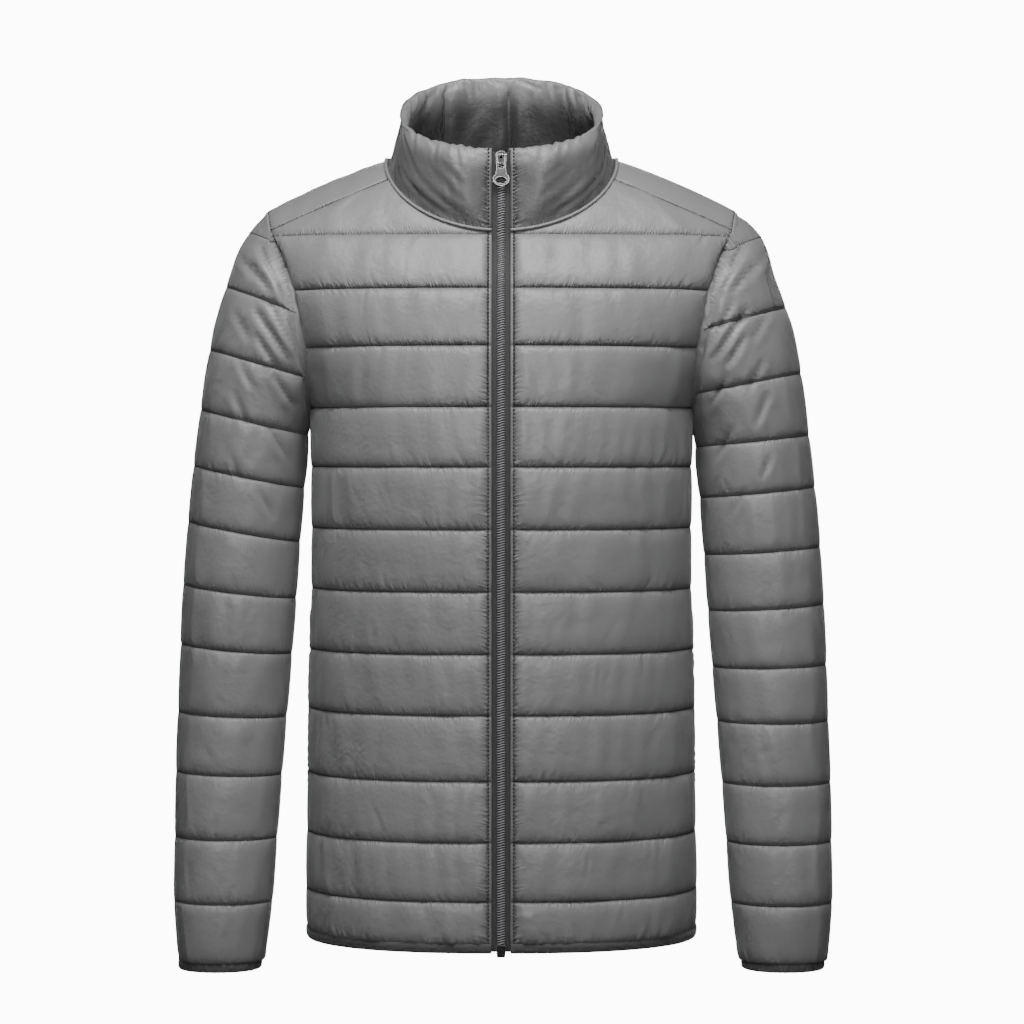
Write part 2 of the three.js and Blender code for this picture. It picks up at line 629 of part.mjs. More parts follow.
// One part of a sleeve on the wearer's left, or its mirror image: the front or the back half from the armhole
// seam to the first full quilt seam, or the whole tube from there to the cuff.
function sleeve(rings, mirror, part) {
  const columns = sleeveColumns(rings);
  const rows = [{ down: -1, loft: 0, inside: true }];
  for (let k = -1; k < rings.length - 1; k++) {
    if (k >= 0) rows.push({ down: k, loft: 0, inside: !PLAIN_INSIDE_SEAMS.includes(k) });
    for (const { at, loft } of BAFFLE) rows.push({ down: k + at, loft, inside: false });
  }
  rows.push({ down: rings.length - 1, loft: 0, inside: true });
  const sign = part === "lower" ? -1 : 1;
  const own = rows.map((row, r) => r).filter((r) => sign * (FIRST_FULL_SEAM - rows[r].down) >= 0);
  const n = columns.length;
  const [from, to] = { front: [0, TOP_OF_ARMHOLE], back: [TOP_OF_ARMHOLE, n], lower: [0, n - 1] }[part];
  const points = rows.map(({ down }) => columns.map(({ pointAt }) => pointAt(down)));
  const out = [];
  const ids = { outer: [], inner: [] };
  for (const r of own) {
    const row = rows[r];
    const cut = row.down === FIRST_FULL_SEAM ? (sign * GAP) / 2 : 0;
    ids.outer[r] = [];
    ids.inner[r] = [];
    for (let k = from; k <= to; k++) {
      const c = k % n;
      const { start, first } = columns[c];
      const clipped = row.down <= first;
      if (clipped && r) {
        ids.outer[r].push(ids.outer[0][k - from]);
        ids.inner[r].push(ids.inner[0][k - from]);
        continue;
      }
      const p = points[r][c];
      const around = points[r][(c + 1) % n].clone().sub(points[r][(c + n - 1) % n]);
      const down = points[Math.min(rows.length - 1, r + 1)][c].clone().sub(points[Math.max(0, r - 1)][c]);
      const far = p.distanceTo(start);
      const square = clipped ? ARMHOLE_SEAM[c].out.clone() : down.cross(around).normalize();
      const way = ARMHOLE_SEAM[c].out.clone().lerp(square, smooth(far / 24)).normalize();
      const loft = SLEEVE_LOFT * row.loft * smooth(far / 30);
      const aside = part === "lower" || (k > from && k < to) ? 0 : k === from ? GAP / 2 : -GAP / 2;
      const place = p.clone().add(V(0, 0, cut)).addScaledVector(around.normalize(), aside);
      ids.outer[r].push(out.push(place.clone().addScaledVector(way, loft)) - 1);
      ids.inner[r].push(out.push(place.addScaledVector(way, -WALL)) - 1);
    }
  }
  const size = to - from + 1;
  const across = part === "lower" ? size : size - 1;
  const triangles = [];
  const skin = (id, list, flip) => {
    for (let k = 0; k + 1 < list.length; k++)
      for (let c = 0; c < across; c++) {
        const [a, b, d] = [id[list[k]], id[list[k + 1]], (c + 1) % size];
        const faces = quad(a[c], a[d], b[d], b[c]);
        triangles.push(...(flip ? faces.map(([x, y, z]) => [x, z, y]) : faces));
      }
  };
  skin(ids.outer, own, false);
  const inside = own.filter((r) => rows[r].inside);
  skin(ids.inner, inside, true);
  for (const [r, flip] of [
    [own[0], true],
    [own.at(-1), false],
  ])
    for (let c = 0; c < across; c++) {
      const d = (c + 1) % size;
      const faces = quad(ids.outer[r][c], ids.outer[r][d], ids.inner[r][d], ids.inner[r][c]);
      triangles.push(...(flip ? faces.map(([x, y, z]) => [x, z, y]) : faces));
    }
  if (part !== "lower") {
    const side = (c) => between(own.map((r) => [r, ids.outer[r][c]]), inside.map((r) => [r, ids.inner[r][c]]));
    triangles.push(...side(0), ...side(size - 1).map(([x, y, z]) => [x, z, y]));
  }
  return geometry(mirror ? out.map(mirrored) : out, triangles);
}

// A binding: a strip whose section is a rounded box, along a line of sections. Each section gives the point
// under the cloth's edge, the way out and the way down.
const BINDING_SECTION = [
  { out: 0.6, down: 0 },
  { out: 1.5, down: 0.25 },
  { out: 1.3, down: 0.85 },
  { out: 0, down: 1 },
  { out: -WALL, down: 1 },
  { out: -WALL - 0.6, down: 0.5 },
  { out: -WALL, down: 0 },
];
function strip(sections, closed) {
  const n = sections[0].length;
  const points = sections.flat();
  const triangles = [];
  const count = sections.length;
  for (let i = 0; i < (closed ? count : count - 1); i++)
    for (let k = 0; k < n; k++) {
      const [a, b, next] = [i * n, ((i + 1) % count) * n, (k + 1) % n];
      triangles.push(...quad(a + k, a + next, b + next, b + k));
    }
  if (!closed)
    for (let k = 1; k + 1 < n; k++) {
      const end = (count - 1) * n;
      triangles.push([0, k + 1, k], [end, end + k, end + k + 1]);
    }
  return geometry(points, triangles);
}
function binding(loop, closed) {
  const n = loop.length;
  const at = (i) => loop[closed ? (i + n) % n : clamp(i, 0, n - 1)];
  return strip(
    loop.map((p, i) => {
      const tangent = at(i + 1).clone().sub(at(i - 1));
      const out = V(tangent.y, -tangent.x, 0).normalize();
      return BINDING_SECTION.map(({ out: o, down }) =>
        p
          .clone()
          .addScaledVector(out, o)
          .add(V(0, 0, -GAP / 2 - down * BINDING_HEIGHT)),
      );
    }),
    closed,
  );
}
const hemLoop = () => {
  const side = back[0].slice(1, -1);
  return [...frontRight[0].slice(), ...side, ...frontLeft[0].slice().reverse()].map((p) => p.clone());
};
const cuffLoop = (mirror) => {
  const cuff = SLEEVE_QUILT.left.at(-1);
  const count = 24;
  const ring = Array.from({ length: count }, (_, i) => ringPoint(cuff, (-360 * DEGREE * i) / count));
  return ring.map((p) => V(mirror ? -p.x : p.x, p.y, p.z - GAP / 2));
};

// The collar, from the zip's right side round the back to its left side
function collar() {
  const total = NECK_LINE.length - 1;
  return strip(
    NECK_SEAM.map(({ p, go, out, across }, i) => {
      const foot = p.clone().addScaledVector(across, GAP / 2);
      const puff = smooth(Math.min(i, total - i) / 2);
      const tangent = NECK_LINE[Math.min(total, i + 1)].clone().sub(NECK_LINE[Math.max(0, i - 1)]);
      const side = tangent.cross(go).normalize();
      if (side.dot(out) < 0) side.negate();
      const points = COLLAR_SECTION.map(({ up, out: o }) => {
        const flat = o > 0 ? 0 : Math.max(o, -WALL);
        return foot.clone().lerp(RIM_LINE[i], up).addScaledVector(side, mix(flat, o, puff));
      });
      return [foot, ...points, foot.clone().addScaledVector(out, -WALL)];
    }),
    false,
  );
}

// The piping that lies in the seam between the collar and the body
const PIPING = { radius: 1.5, clear: 0.8, sides: 6 };
function neckPiping() {
  return strip(
    NECK_SEAM.map(({ p, go, out, across }) => {
      const lift = (PIPING.radius + PIPING.clear) / Math.sin(Math.acos(clamp(go.dot(out), 0, 0.8)));
      const middle = p.clone().addScaledVector(out, lift);
      return Array.from({ length: PIPING.sides }, (_, k) => {
        const turn = (360 * DEGREE * k) / PIPING.sides;
        return middle
          .clone()
          .addScaledVector(across, PIPING.radius * Math.cos(turn))
          .addScaledVector(out, PIPING.radius * Math.sin(turn));
      });
    }),
    false,
  );
}

// The zip: stations up its middle line, each with a point on the front's surface and the way out there
const ZIP_BOTTOM_Z = HEM_Z - BINDING_HEIGHT;
const COLLAR_TOP_Z = RIM.frontZ;
function zipStations() {
  const line = [ZIP_BOTTOM_Z, ...ROWS.filter(({ inside }) => inside).map(({ z }) => z)];
  const chest = line.map((z) => V(0, -depthOf.front(z), z));
  const foot = V(0, -depthOf.front(-NECK_DROP), -NECK_DROP);
  const top = V(0, RIM.front, COLLAR_TOP_Z);
  const neck = [0, 0.2, 0.4, 0.6, 0.8, 1].map((t) => foot.clone().lerp(top, t));
  const points = [...chest, ...neck];
  return points.map((p, i) => {
    const along = points[Math.min(points.length - 1, i + 1)].clone().sub(points[Math.max(0, i - 1)]);
    return { p, out: V(0, -along.z, along.y).normalize() };
  });
}
const STATIONS = zipStations();
const TAPE = { near: 0.6, far: 12.6, thick: 1 };
const tapeDepth = (z) => WALL + GAP + mix(0.15, 1.8, smooth((z + 115) / 50));
const TEETH_HEIGHT = 2.6;
const TEETH_SECTION = [
  { x: 0.3, over: 0.3 },
  { x: 0.3, over: 2.2 },
  { x: 1.7, over: TEETH_HEIGHT },
  { x: 4.3, over: 1.6 },
  { x: 4.3, over: 0.3 },
];
function zipStrip(section, side) {
  return strip(
    STATIONS.map(({ p, out }) =>
      section.map(({ x, over }) =>
        p
          .clone()
          .addScaledVector(out, over - tapeDepth(p.z))
          .add(V(side * x, 0, 0)),
      ),
    ),
    false,
  );
}
const TAPE_SECTION = [
  { x: TAPE.near, over: -TAPE.thick },
  { x: TAPE.near, over: 0 },
  { x: TAPE.far, over: 0 },
  { x: TAPE.far, over: -TAPE.thick },
];

// Small hard pieces of the zip, joined with manifold-3d
const wasm = await Module();
wasm.setup();
function solid(shape) {
  const plain = shape.index ? shape.toNonIndexed() : shape;
  const corners = plain.attributes.position;
  const mesh = new wasm.Mesh({
    numProp: 3,
    vertProperties: new Float32Array(corners.array),
    triVerts: Uint32Array.from({ length: corners.count }, (_, i) => i),
  });
  mesh.merge();
  return new wasm.Manifold(mesh);
}
function fromSolid(made) {
  const mesh = made.getMesh();
  return new THREE.BufferGeometry()
    .setAttribute("position", new THREE.Float32BufferAttribute(mesh.vertProperties, 3))
    .setIndex([...mesh.triVerts]);
}
// An outline drawn in x and z, made thick along y about y = 0.
function plate(shape, thick, curves) {
  const made = new THREE.ExtrudeGeometry(shape, { depth: thick, bevelEnabled: false, curveSegments: curves });
  return made.translate(0, 0, -thick / 2).rotateX(90 * DEGREE);
}

// The slider, in its own frame: y = 0 is its front plate's middle, the hinge lies in front of it.
const SLIDER = { width: 8.6, length: 11, thick: 1.3, bridge: 2.6 };
const HINGE = { out: 2.4, up: 1.5, bar: 0.7, eye: 1.15, rim: 2.3 };
function slider() {
  const [w, h] = [SLIDER.width / 2, SLIDER.length / 2];
  const outline = new THREE.Shape();
  outline.moveTo(-w * 0.62, -h);
  outline.lineTo(w * 0.62, -h);
  outline.quadraticCurveTo(w, -h * 0.2, w, h * 0.45);
  outline.quadraticCurveTo(w * 0.8, h, 0, h);
  outline.quadraticCurveTo(-w * 0.8, h, -w, h * 0.45);
  outline.quadraticCurveTo(-w, -h * 0.2, -w * 0.62, -h);
  const front = solid(plate(outline, SLIDER.thick, 5));
  const ring = new THREE.Shape().absarc(0, 0, HINGE.rim, 0, 360 * DEGREE);
  ring.holes.push(new THREE.Path().absarc(0, 0, HINGE.eye, 0, 360 * DEGREE, true));
  const eye = new THREE.ExtrudeGeometry(ring, { depth: SLIDER.bridge, bevelEnabled: false, curveSegments: 8 });
  eye.translate(0, 0, -SLIDER.bridge / 2).rotateY(90 * DEGREE).translate(0, -HINGE.out, HINGE.up);
  return fromSolid(front.add(solid(eye)));
}

// The pull tab, in a frame whose x axis is the hinge: a bar through the slider's eye, two arms and an oval.
const TAB = { arm: 3.1, armWide: 1.5, thick: 1.3, armsDown: 13, neckDown: 17.5, ovalDown: 22.5 };
function pullTab() {
  const { arm, armWide, armsDown, neckDown, ovalDown } = TAB;
  const outer = arm + armWide;
  const outline = new THREE.Shape();
  outline.moveTo(-outer, 0.7);
  outline.lineTo(-arm, 0.7);
  outline.lineTo(-arm + 0.5, -armsDown + 2);
  outline.quadraticCurveTo(0, -armsDown - 1, arm - 0.5, -armsDown + 2);
  outline.lineTo(arm, 0.7);
  outline.lineTo(outer, 0.7);
  outline.lineTo(outer - 0.6, -armsDown);
  outline.lineTo(outer + 0.4, -neckDown);
  outline.bezierCurveTo(outer + 5, -neckDown - 3, outer + 2, -ovalDown - 5, 0, -ovalDown - 5);
  outline.bezierCurveTo(-outer - 2, -ovalDown - 5, -outer - 5, -neckDown - 3, -outer - 0.4, -neckDown);
  outline.lineTo(-outer + 0.6, -armsDown);
  outline.closePath();
  const hole = new THREE.Path().absellipse(0, -ovalDown - 0.1, 5.2, 3.1, 0, 360 * DEGREE);
  outline.holes.push(hole);
  const tab = solid(plate(outline, TAB.thick, 7));
  const bar = new THREE.CylinderGeometry(HINGE.bar, HINGE.bar, 2 * outer - 0.4, 12).rotateZ(90 * DEGREE);
  return fromSolid(tab.add(solid(bar)));
}

// The box that holds the zip's lower end together.
const BOX = { half: 4.4, height: 9.5, thick: 3 };
function zipBox() {
  const { half, height } = BOX;
  const outline = new THREE.Shape();
  outline.moveTo(-half, 0);
  outline.lineTo(-half + 0.8, -height);
  outline.lineTo(half - 0.8, -height);
  outline.lineTo(half, 0);
  outline.lineTo(half - 1, 0.8);
  outline.lineTo(-half + 1, 0.8);
  outline.closePath();
  return fromSolid(solid(plate(outline, BOX.thick, 2)));
}

// The model
const finish = (color, roughness, metalness) => new THREE.MeshStandardMaterial({ color, roughness, metalness });
const shell = finish(SHELL_GREY, 0.42, 0);
const trim = finish(BINDING_GREY, 0.8, 0);
const metal = finish(METAL_GREY, 0.35, 0.9);
const named = (name, shape, material) => {
  const mesh = new THREE.Mesh(shape, material);
  mesh.name = name;
  return mesh;
};

const jacket = new THREE.Group();
const facing = (p) => (seamOut.get(key(p)) ?? bodyNormal(p)).clone();
const frontLoft = (c) => EDGE_LOFT[c] ?? EDGE_LOFT[FRONT_COLUMNS.length - 1 - c] ?? 1;
const backLoft = (c) => EDGE_LOFT[c] ?? EDGE_LOFT[2 * BACK_COLUMNS.length - 2 - c] ?? 1;
jacket.add(
  named("front_left", panel(frontLeft, FRONT_ROWS, facing, frontLoft), shell),
  named("front_right", panel(frontRight, FRONT_ROWS, facing, frontLoft), shell),
  named("back", panel(back, BACK_ROWS, facing, backLoft), shell),
  named("upper_sleeve_front_left", sleeve(SLEEVE_QUILT.left, false, "front"), shell),
  named("upper_sleeve_front_right", sleeve(SLEEVE_QUILT.right, true, "front"), shell),
  named("upper_sleeve_back_left", sleeve(SLEEVE_QUILT.left, false, "back"), shell),
  named("upper_sleeve_back_right", sleeve(SLEEVE_QUILT.right, true, "back"), shell),
  named("lower_sleeve_left", sleeve(SLEEVE_QUILT.left, false, "lower"), shell),
  named("lower_sleeve_right", sleeve(SLEEVE_QUILT.right, true, "lower"), shell),
  named("collar", collar(), shell),
  named("neck_piping", neckPiping(), shell),
  named("hem_binding", binding(hemLoop(), false), trim),
  named("cuff_binding_left", binding(cuffLoop(false), true), trim),
  named("cuff_binding_right", binding(cuffLoop(true).reverse(), true), trim),
  named("zip_tape_left", zipStrip(TAPE_SECTION, 1), trim),
  named("zip_tape_right", zipStrip(TAPE_SECTION, -1), trim),
  named("zip_teeth_left", zipStrip(TEETH_SECTION, 1), trim),
  named("zip_teeth_right", zipStrip(TEETH_SECTION, -1), trim),
);

// The slider and its tab sit in a frame that leans with the collar's front.
const neckFoot = V(0, -depthOf.front(-NECK_DROP), -NECK_DROP);
const neckTop = V(0, RIM.front, COLLAR_TOP_Z);
const lean = Math.atan2(neckTop.y - neckFoot.y, neckTop.z - neckFoot.z);
const overTape = tapeDepth(COLLAR_TOP_Z) - TEETH_HEIGHT - GAP - SLIDER.thick / 2;
const zipTop = new THREE.Group();
zipTop.position.copy(neckTop.clone().lerp(neckFoot, 0.06));
zipTop.rotation.x = -lean;
const slide = named("zip_slider", slider(), metal);
slide.position.y = overTape;
const tab = named("zip_pull_tab", pullTab(), metal);
tab.position.set(0, overTape - HINGE.out, HINGE.up);
zipTop.add(slide, tab);
const box = named("zip_box", zipBox(), trim);
box.position.set(0, -depthOf.front(HEM_Z) + tapeDepth(HEM_Z) - TEETH_HEIGHT - GAP - BOX.thick / 2, HEM_Z - 1);
jacket.add(zipTop, box);

export default jacket;
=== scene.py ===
import math

import bpy
import numpy as np
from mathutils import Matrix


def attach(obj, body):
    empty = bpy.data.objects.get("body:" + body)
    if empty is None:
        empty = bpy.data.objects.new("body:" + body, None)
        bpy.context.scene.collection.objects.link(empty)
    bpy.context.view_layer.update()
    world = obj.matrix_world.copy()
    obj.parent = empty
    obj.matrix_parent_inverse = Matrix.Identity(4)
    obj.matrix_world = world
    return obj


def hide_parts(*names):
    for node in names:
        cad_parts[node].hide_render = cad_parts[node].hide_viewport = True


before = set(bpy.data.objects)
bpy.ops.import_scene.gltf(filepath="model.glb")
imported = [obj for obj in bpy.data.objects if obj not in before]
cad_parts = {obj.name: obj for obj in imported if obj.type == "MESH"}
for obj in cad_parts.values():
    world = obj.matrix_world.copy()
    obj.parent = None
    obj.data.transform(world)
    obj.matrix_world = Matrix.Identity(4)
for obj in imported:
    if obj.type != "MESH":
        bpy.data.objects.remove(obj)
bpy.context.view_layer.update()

# How high the filled baffles stand, how high they stay near a side, and how deep a crease may go
BODY_LOFT = 5.2
TOP_LOFT = {"front": 2.6, "back": 0.3}
SLEEVE_LOFT = 4.6
DEEPEST = -1.5

# The places of the cloth's walls and seams
WALL = 2.5
GAP = 0.3
SECTION_POWER = 2.4
SLEEVE_POWER = 2.2
DOME_POWER = {"front": 1.8, "back": 2.4}
RIDGE_TOP, RIDGE_FALL, RIDGE_POWER = 22.0, 0.00953, 1.654
NECK_HALF = 102.0
NECK_DROP = 67.0
NECK_RISE = 13.0
SHOULDER_HALF = 210.0
UNDERARM_Z = -221.0
ARMHOLE_TOP_Z = -44.0
ARMHOLE_DEPTH = {"front": 75.0, "back": 80.0}
HEM_Z = -686.0
BINDING_HEIGHT = 7.0
ZIP_HALF = 8.2
SIDE_SEAM_FORWARD = 14.0
YOKE_CORNER = 74.0
YOKE_END = (204.0, -64.0)
FIRST_QUILT_Z = -70.0
DEGREE = math.pi / 180


def table(names, rows):
    """A table with named columns."""
    return dict(zip(names.split(), np.array(rows, float).T))


BODY = table(
    "z side front back",
    [
        (45, 168, 66, 98),
        (0, 168, 86, 106),
        (-70, 168, 93, 116),
        (-118, 168, 115, 121),
        (-168, 168, 128, 122),
        (-221, 168.5, 134, 119),
        (-273, 168, 136, 114),
        (-327, 167.8, 134, 109),
        (-381, 168.2, 131, 106),
        (-435, 169.4, 129, 107),
        (-488, 170.4, 128, 109),
        (-545, 171.2, 128, 112),
        (-598, 172.2, 129, 114),
        (-649, 173.2, 130, 115),
        (-686, 172.4, 130, 115),
        (-693, 171.4, 129, 114),
    ],
)
QUILT_Z = BODY["z"][14:1:-1]
ARMHOLE = table(
    "z front back",
    [
        (-44, 210, 210),
        (-64, 204, 207),
        (-90, 191, 201),
        (-122, 180.5, 193),
        (-161, 172.5, 184),
        (-192, 169.3, 174.5),
        (-221, 168.5, 168.5),
    ],
)
SLEEVE_SHAPE = table(
    "z outer inner depth forward",
    [
        (-44, 210, 169, 74, 0),
        (-63, 225.5, 169, 74, 0),
        (-81, 235, 169, 74, 0),
        (-108, 244.5, 169, 74, 0),
        (-140, 253.5, 170, 74, 0),
        (-168, 259.5, 171, 74, 0),
        (-221, 268.5, 173, 73, 0),
        (-271, 275, 179.5, 70, 0),
        (-320, 280, 184, 66.5, 1),
        (-378, 284.5, 188, 62, 3),
        (-440, 287, 192.5, 57.5, 6),
        (-497, 289, 197.3, 53.5, 9),
        (-550, 290.7, 201.5, 50, 12),
        (-605, 291.5, 205.5, 47, 15),
        (-660, 292.2, 209.3, 44, 18),
        (-695, 291.6, 213.2, 41, 20),
        (-714, 287.6, 216.4, 37, 21),
        (-726, 286.8, 217, 36.4, 21.5),
    ],
)
ABOVE_CAP = (-14.0, 0.52)
ABOVE_CAP_X = 212.0
SLEEVE_QUILT = {
    "left": [
        (-69.5, 0.41),
        (-132, 0.274),
        (-190.5, 0.191),
        (-245.5, 0.1),
        (-291.5, 0.093),
        (-345, 0.066),
        (-396, 0.055),
        (-450, 0.02),
        (-500, 0),
        (-555, 0),
        (-607.5, 0),
        (-661.5, 0),
        (-714, 0),
    ],
    "right": [
        (-63.5, 0.467),
        (-112.5, 0.377),
        (-169, 0.284),
        (-222, 0.236),
        (-272, 0.204),
        (-321.5, 0.19),
        (-378, 0.128),
        (-431, 0.092),
        (-491.5, 0.049),
        (-544.5, 0.035),
        (-602.5, 0.016),
        (-659.7, 0.01),
        (-714, 0),
    ],
}
FIRST_FULL_SEAM = 3
RIM = {"half": 91.0, "front": -83.0, "back": 49.0, "front_z": 3.4, "back_z": 79.5}
COLLAR_SECTION = table(
    "up out",
    [
        (0, 0),
        (0.08, 0),
        (0.3, 4.8),
        (0.6, 5.6),
        (0.85, 4.8),
        (0.98, 2.4),
        (1.03, -1.2),
        (0.98, -4.6),
        (0.8, -6.2),
        (0.45, -5.6),
        (0.12, -3.4),
        (0, -2.5),
    ],
)
BACK_COLUMNS = table(
    "across bow",
    [
        (0, 0),
        (0.07, 0),
        (0.14, 0),
        (0.21, 0),
        (0.28, 4),
        (0.35, 14),
        (0.43, 20),
        (0.51, 20),
        (0.63, 13),
        (0.75, 7),
        (0.88, 4),
        (1, 5),
    ],
)
FRONT_COLUMNS = np.array([0, 0.07, 0.16, 0.26, 0.36, 0.45, 0.58, 0.72, 0.87, 1])
FRONT_CORNER, BACK_HIGH_POINT, BACK_CORNER = 5, 5, 7


def mix(a, b, t):
    return a + (b - a) * t


def smooth(t):
    t = np.clip(t, 0, 1)
    return t * t * (3 - 2 * t)


def unit(v):
    return v / np.maximum(np.linalg.norm(v, axis=-1, keepdims=True), 1e-9)


def column(tab, name):
    """A smooth function of z through one column of a table whose rows go down."""
    z, v = tab["z"], tab[name]
    last = len(z) - 1
    low, high = np.maximum(np.arange(last + 1) - 1, 0), np.minimum(np.arange(last + 1) + 1, last)
    slope = (v[high] - v[low]) / (z[high] - z[low])

    def at(q):
        i = np.clip(np.searchsorted(-z, -np.asarray(q, float), side="right") - 1, 0, last - 1)
        span = z[i + 1] - z[i]
        t = np.clip((q - z[i]) / span, 0, 1)
        pull = slope[i] * span * t * (1 - t) ** 2 - slope[i + 1] * span * t * t * (1 - t)
        return mix(v[i], v[i + 1], t * t * (3 - 2 * t)) + pull

    return at


# The body's surface, as in the solids
side_half = column(BODY, "side")
depth_of = {"front": column(BODY, "front"), "back": column(BODY, "back")}
armhole_x = {"front": column(ARMHOLE, "front"), "back": column(ARMHOLE, "back")}


def ridge_z(x):
    return RIDGE_TOP - RIDGE_FALL * np.abs(x) ** RIDGE_POWER


def dome_height(x):
    return mix(100, 62, np.clip((np.abs(x) - NECK_HALF) / (SHOULDER_HALF - NECK_HALF), 0, 1))


def roof(x, z, face):
    left = 1 - np.clip((ridge_z(x) - z) / dome_height(x), 0, 1)
    return (1 - left ** DOME_POWER[face]) ** (1 / DOME_POWER[face])


def full_half(z, face):
    level = np.clip(z, UNDERARM_Z, YOKE_END[1])
    middle, half = (ARMHOLE_TOP_Z + UNDERARM_Z) / 2, (ARMHOLE_TOP_Z - UNDERARM_Z) / 2
    y = ARMHOLE_DEPTH[face] * np.sqrt(np.maximum(0, 1 - ((level - middle) / half) ** 2))
    x = armhole_x[face](level)
    share = y / (depth_of[face](level) * roof(x, level, face))
    return np.where(z <= UNDERARM_Z, side_half(z), x / (1 - share**SECTION_POWER) ** (1 / SECTION_POWER))


def body_point(x, z, face):
    share = np.minimum(1, np.abs(x) / full_half(z, face))
    y = depth_of[face](z) * (1 - share**SECTION_POWER) ** (1 / SECTION_POWER) * roof(x, z, face)
    return np.stack([x, -y if face == "front" else y, z], -1)


def angle_at(x, z, face):
    return np.arcsin(np.minimum(1, (x / full_half(z, face)) ** (SECTION_POWER / 2)))


def front_edge_angle(z):
    forward = SIDE_SEAM_FORWARD * smooth((UNDERARM_Z - z) / 160)
    low = np.arccos((forward / depth_of["front"](z)) ** (SECTION_POWER / 2))
    high = angle_at(armhole_x["front"](z), z, "front")
    return np.where(z > UNDERARM_Z, high, low)


def section_point(angle, z, face):
    """The point of a body section by its angle from the middle of that face, up to a quarter turn."""
    x = full_half(z, face) * np.abs(np.sin(angle)) ** (2 / SECTION_POWER)
    y = depth_of[face](z) * np.abs(np.cos(angle)) ** (2 / SECTION_POWER) * roof(x, z, face)
    return np.stack([x, -y if face == "front" else y, z + 0 * x], -1)


def turn_at(x, z, face):
    fall = (ridge_z(x) - z) / dome_height(x)
    near = np.arccos((1 - np.clip(fall, 0, 1)) ** (DOME_POWER[face] / 2)) / (90 * DEGREE)
    return np.where(fall >= 1, 1 + 0.6 * (fall - 1), near)


def dome_point(x, turn):
    size = np.abs(turn)
    points = []
    for face in ("front", "back"):
        swung = 1 - np.cos(np.minimum(size, 1) * 90 * DEGREE) ** (2 / DOME_POWER[face])
        fall = np.where(size > 1, 1 + (size - 1) / 0.6, swung)
        points.append(body_point(x, ridge_z(x) - dome_height(x) * fall, face))
    return np.where((turn < 0)[..., None], points[0], points[1])


def neck_front(angle):
    return NECK_HALF * np.sin(angle * DEGREE), -NECK_DROP * np.cos(angle * DEGREE)


def yoke_seam(t):
    start = neck_front(YOKE_CORNER)
    return mix(start[0], YOKE_END[0], t), mix(start[1], YOKE_END[1], t)


def front_top(c):
    start = math.asin(ZIP_HALF / NECK_HALF) / DEGREE
    neck = neck_front(mix(start, YOKE_CORNER, np.minimum(c, FRONT_CORNER) / FRONT_CORNER))
    yoke = yoke_seam(np.maximum(0, c - FRONT_CORNER) / (len(FRONT_COLUMNS) - 1 - FRONT_CORNER))
    past = c > FRONT_CORNER
    return np.where(past, yoke[0], neck[0]), np.where(past, yoke[1], neck[1])


def back_top(c):
    last = len(BACK_COLUMNS["across"]) - 1
    swing = np.minimum(c, BACK_HIGH_POINT) / BACK_HIGH_POINT * 90 * DEGREE
    rise = turn_at(np.array(0.0), np.array(NECK_RISE), "back")
    round_ = mix(90, YOKE_CORNER, np.clip((c - BACK_HIGH_POINT) / (BACK_CORNER - BACK_HIGH_POINT), 0, 1))
    out = np.maximum(0, (c - BACK_CORNER) / (last - BACK_CORNER))
    neck, yoke = neck_front(round_), yoke_seam(out)
    x = np.where(out > 0, yoke[0], neck[0])
    z = np.where(out > 0, yoke[1], neck[1])
    behind = c <= BACK_HIGH_POINT
    turn = np.where(behind, rise * np.cos(swing), -turn_at(x, z, "front"))
    return np.where(behind, NECK_HALF * np.sin(swing), x), turn


# Rows of a panel: each baffle's share from its lower stitch line, closer together near the stitch lines
def baffle_steps(count):
    t = np.linspace(0, 1, count + 1)[:-1]
    return t - 0.125 * np.sin(2 * math.pi * t)


def panel_rows(count):
    z, t, baffle = [], [], []
    for k in range(len(QUILT_Z) - 1):
        for step in baffle_steps(count):
            z.append(mix(QUILT_Z[k], QUILT_Z[k + 1], step))
            t.append(step)
            baffle.append(k)
    return np.array(z + [FIRST_QUILT_Z]), np.array(t), np.array(baffle)


FRONT_ROWS, BACK_ROWS, TOP_ROWS = 20, 13, 38
FRONT_ACROSS, BACK_ACROSS = 208, 170


# Where the front's columns lie, as shares of its width
front_u = np.unique(np.r_[np.linspace(0, 1, FRONT_ACROSS), FRONT_COLUMNS[FRONT_CORNER]])


def front_grid():
    """The left front's points without relief, rows from the hem up and columns from the zip out."""
    u = front_u
    z = panel_rows(FRONT_ROWS)[0][:, None]
    start, end = angle_at(ZIP_HALF, z, "front"), front_edge_angle(z)
    low = section_point(mix(start, end, u[None]), z, "front")
    top_x, top_z = front_top(np.interp(u, FRONT_COLUMNS, np.arange(len(FRONT_COLUMNS))))
    up = np.linspace(0, 1, TOP_ROWS + 1)[1:, None]
    high = body_point(mix(low[-1, :, 0], top_x, up), mix(low[-1, :, 2], top_z, up), "front")
    return np.concatenate([low, high])


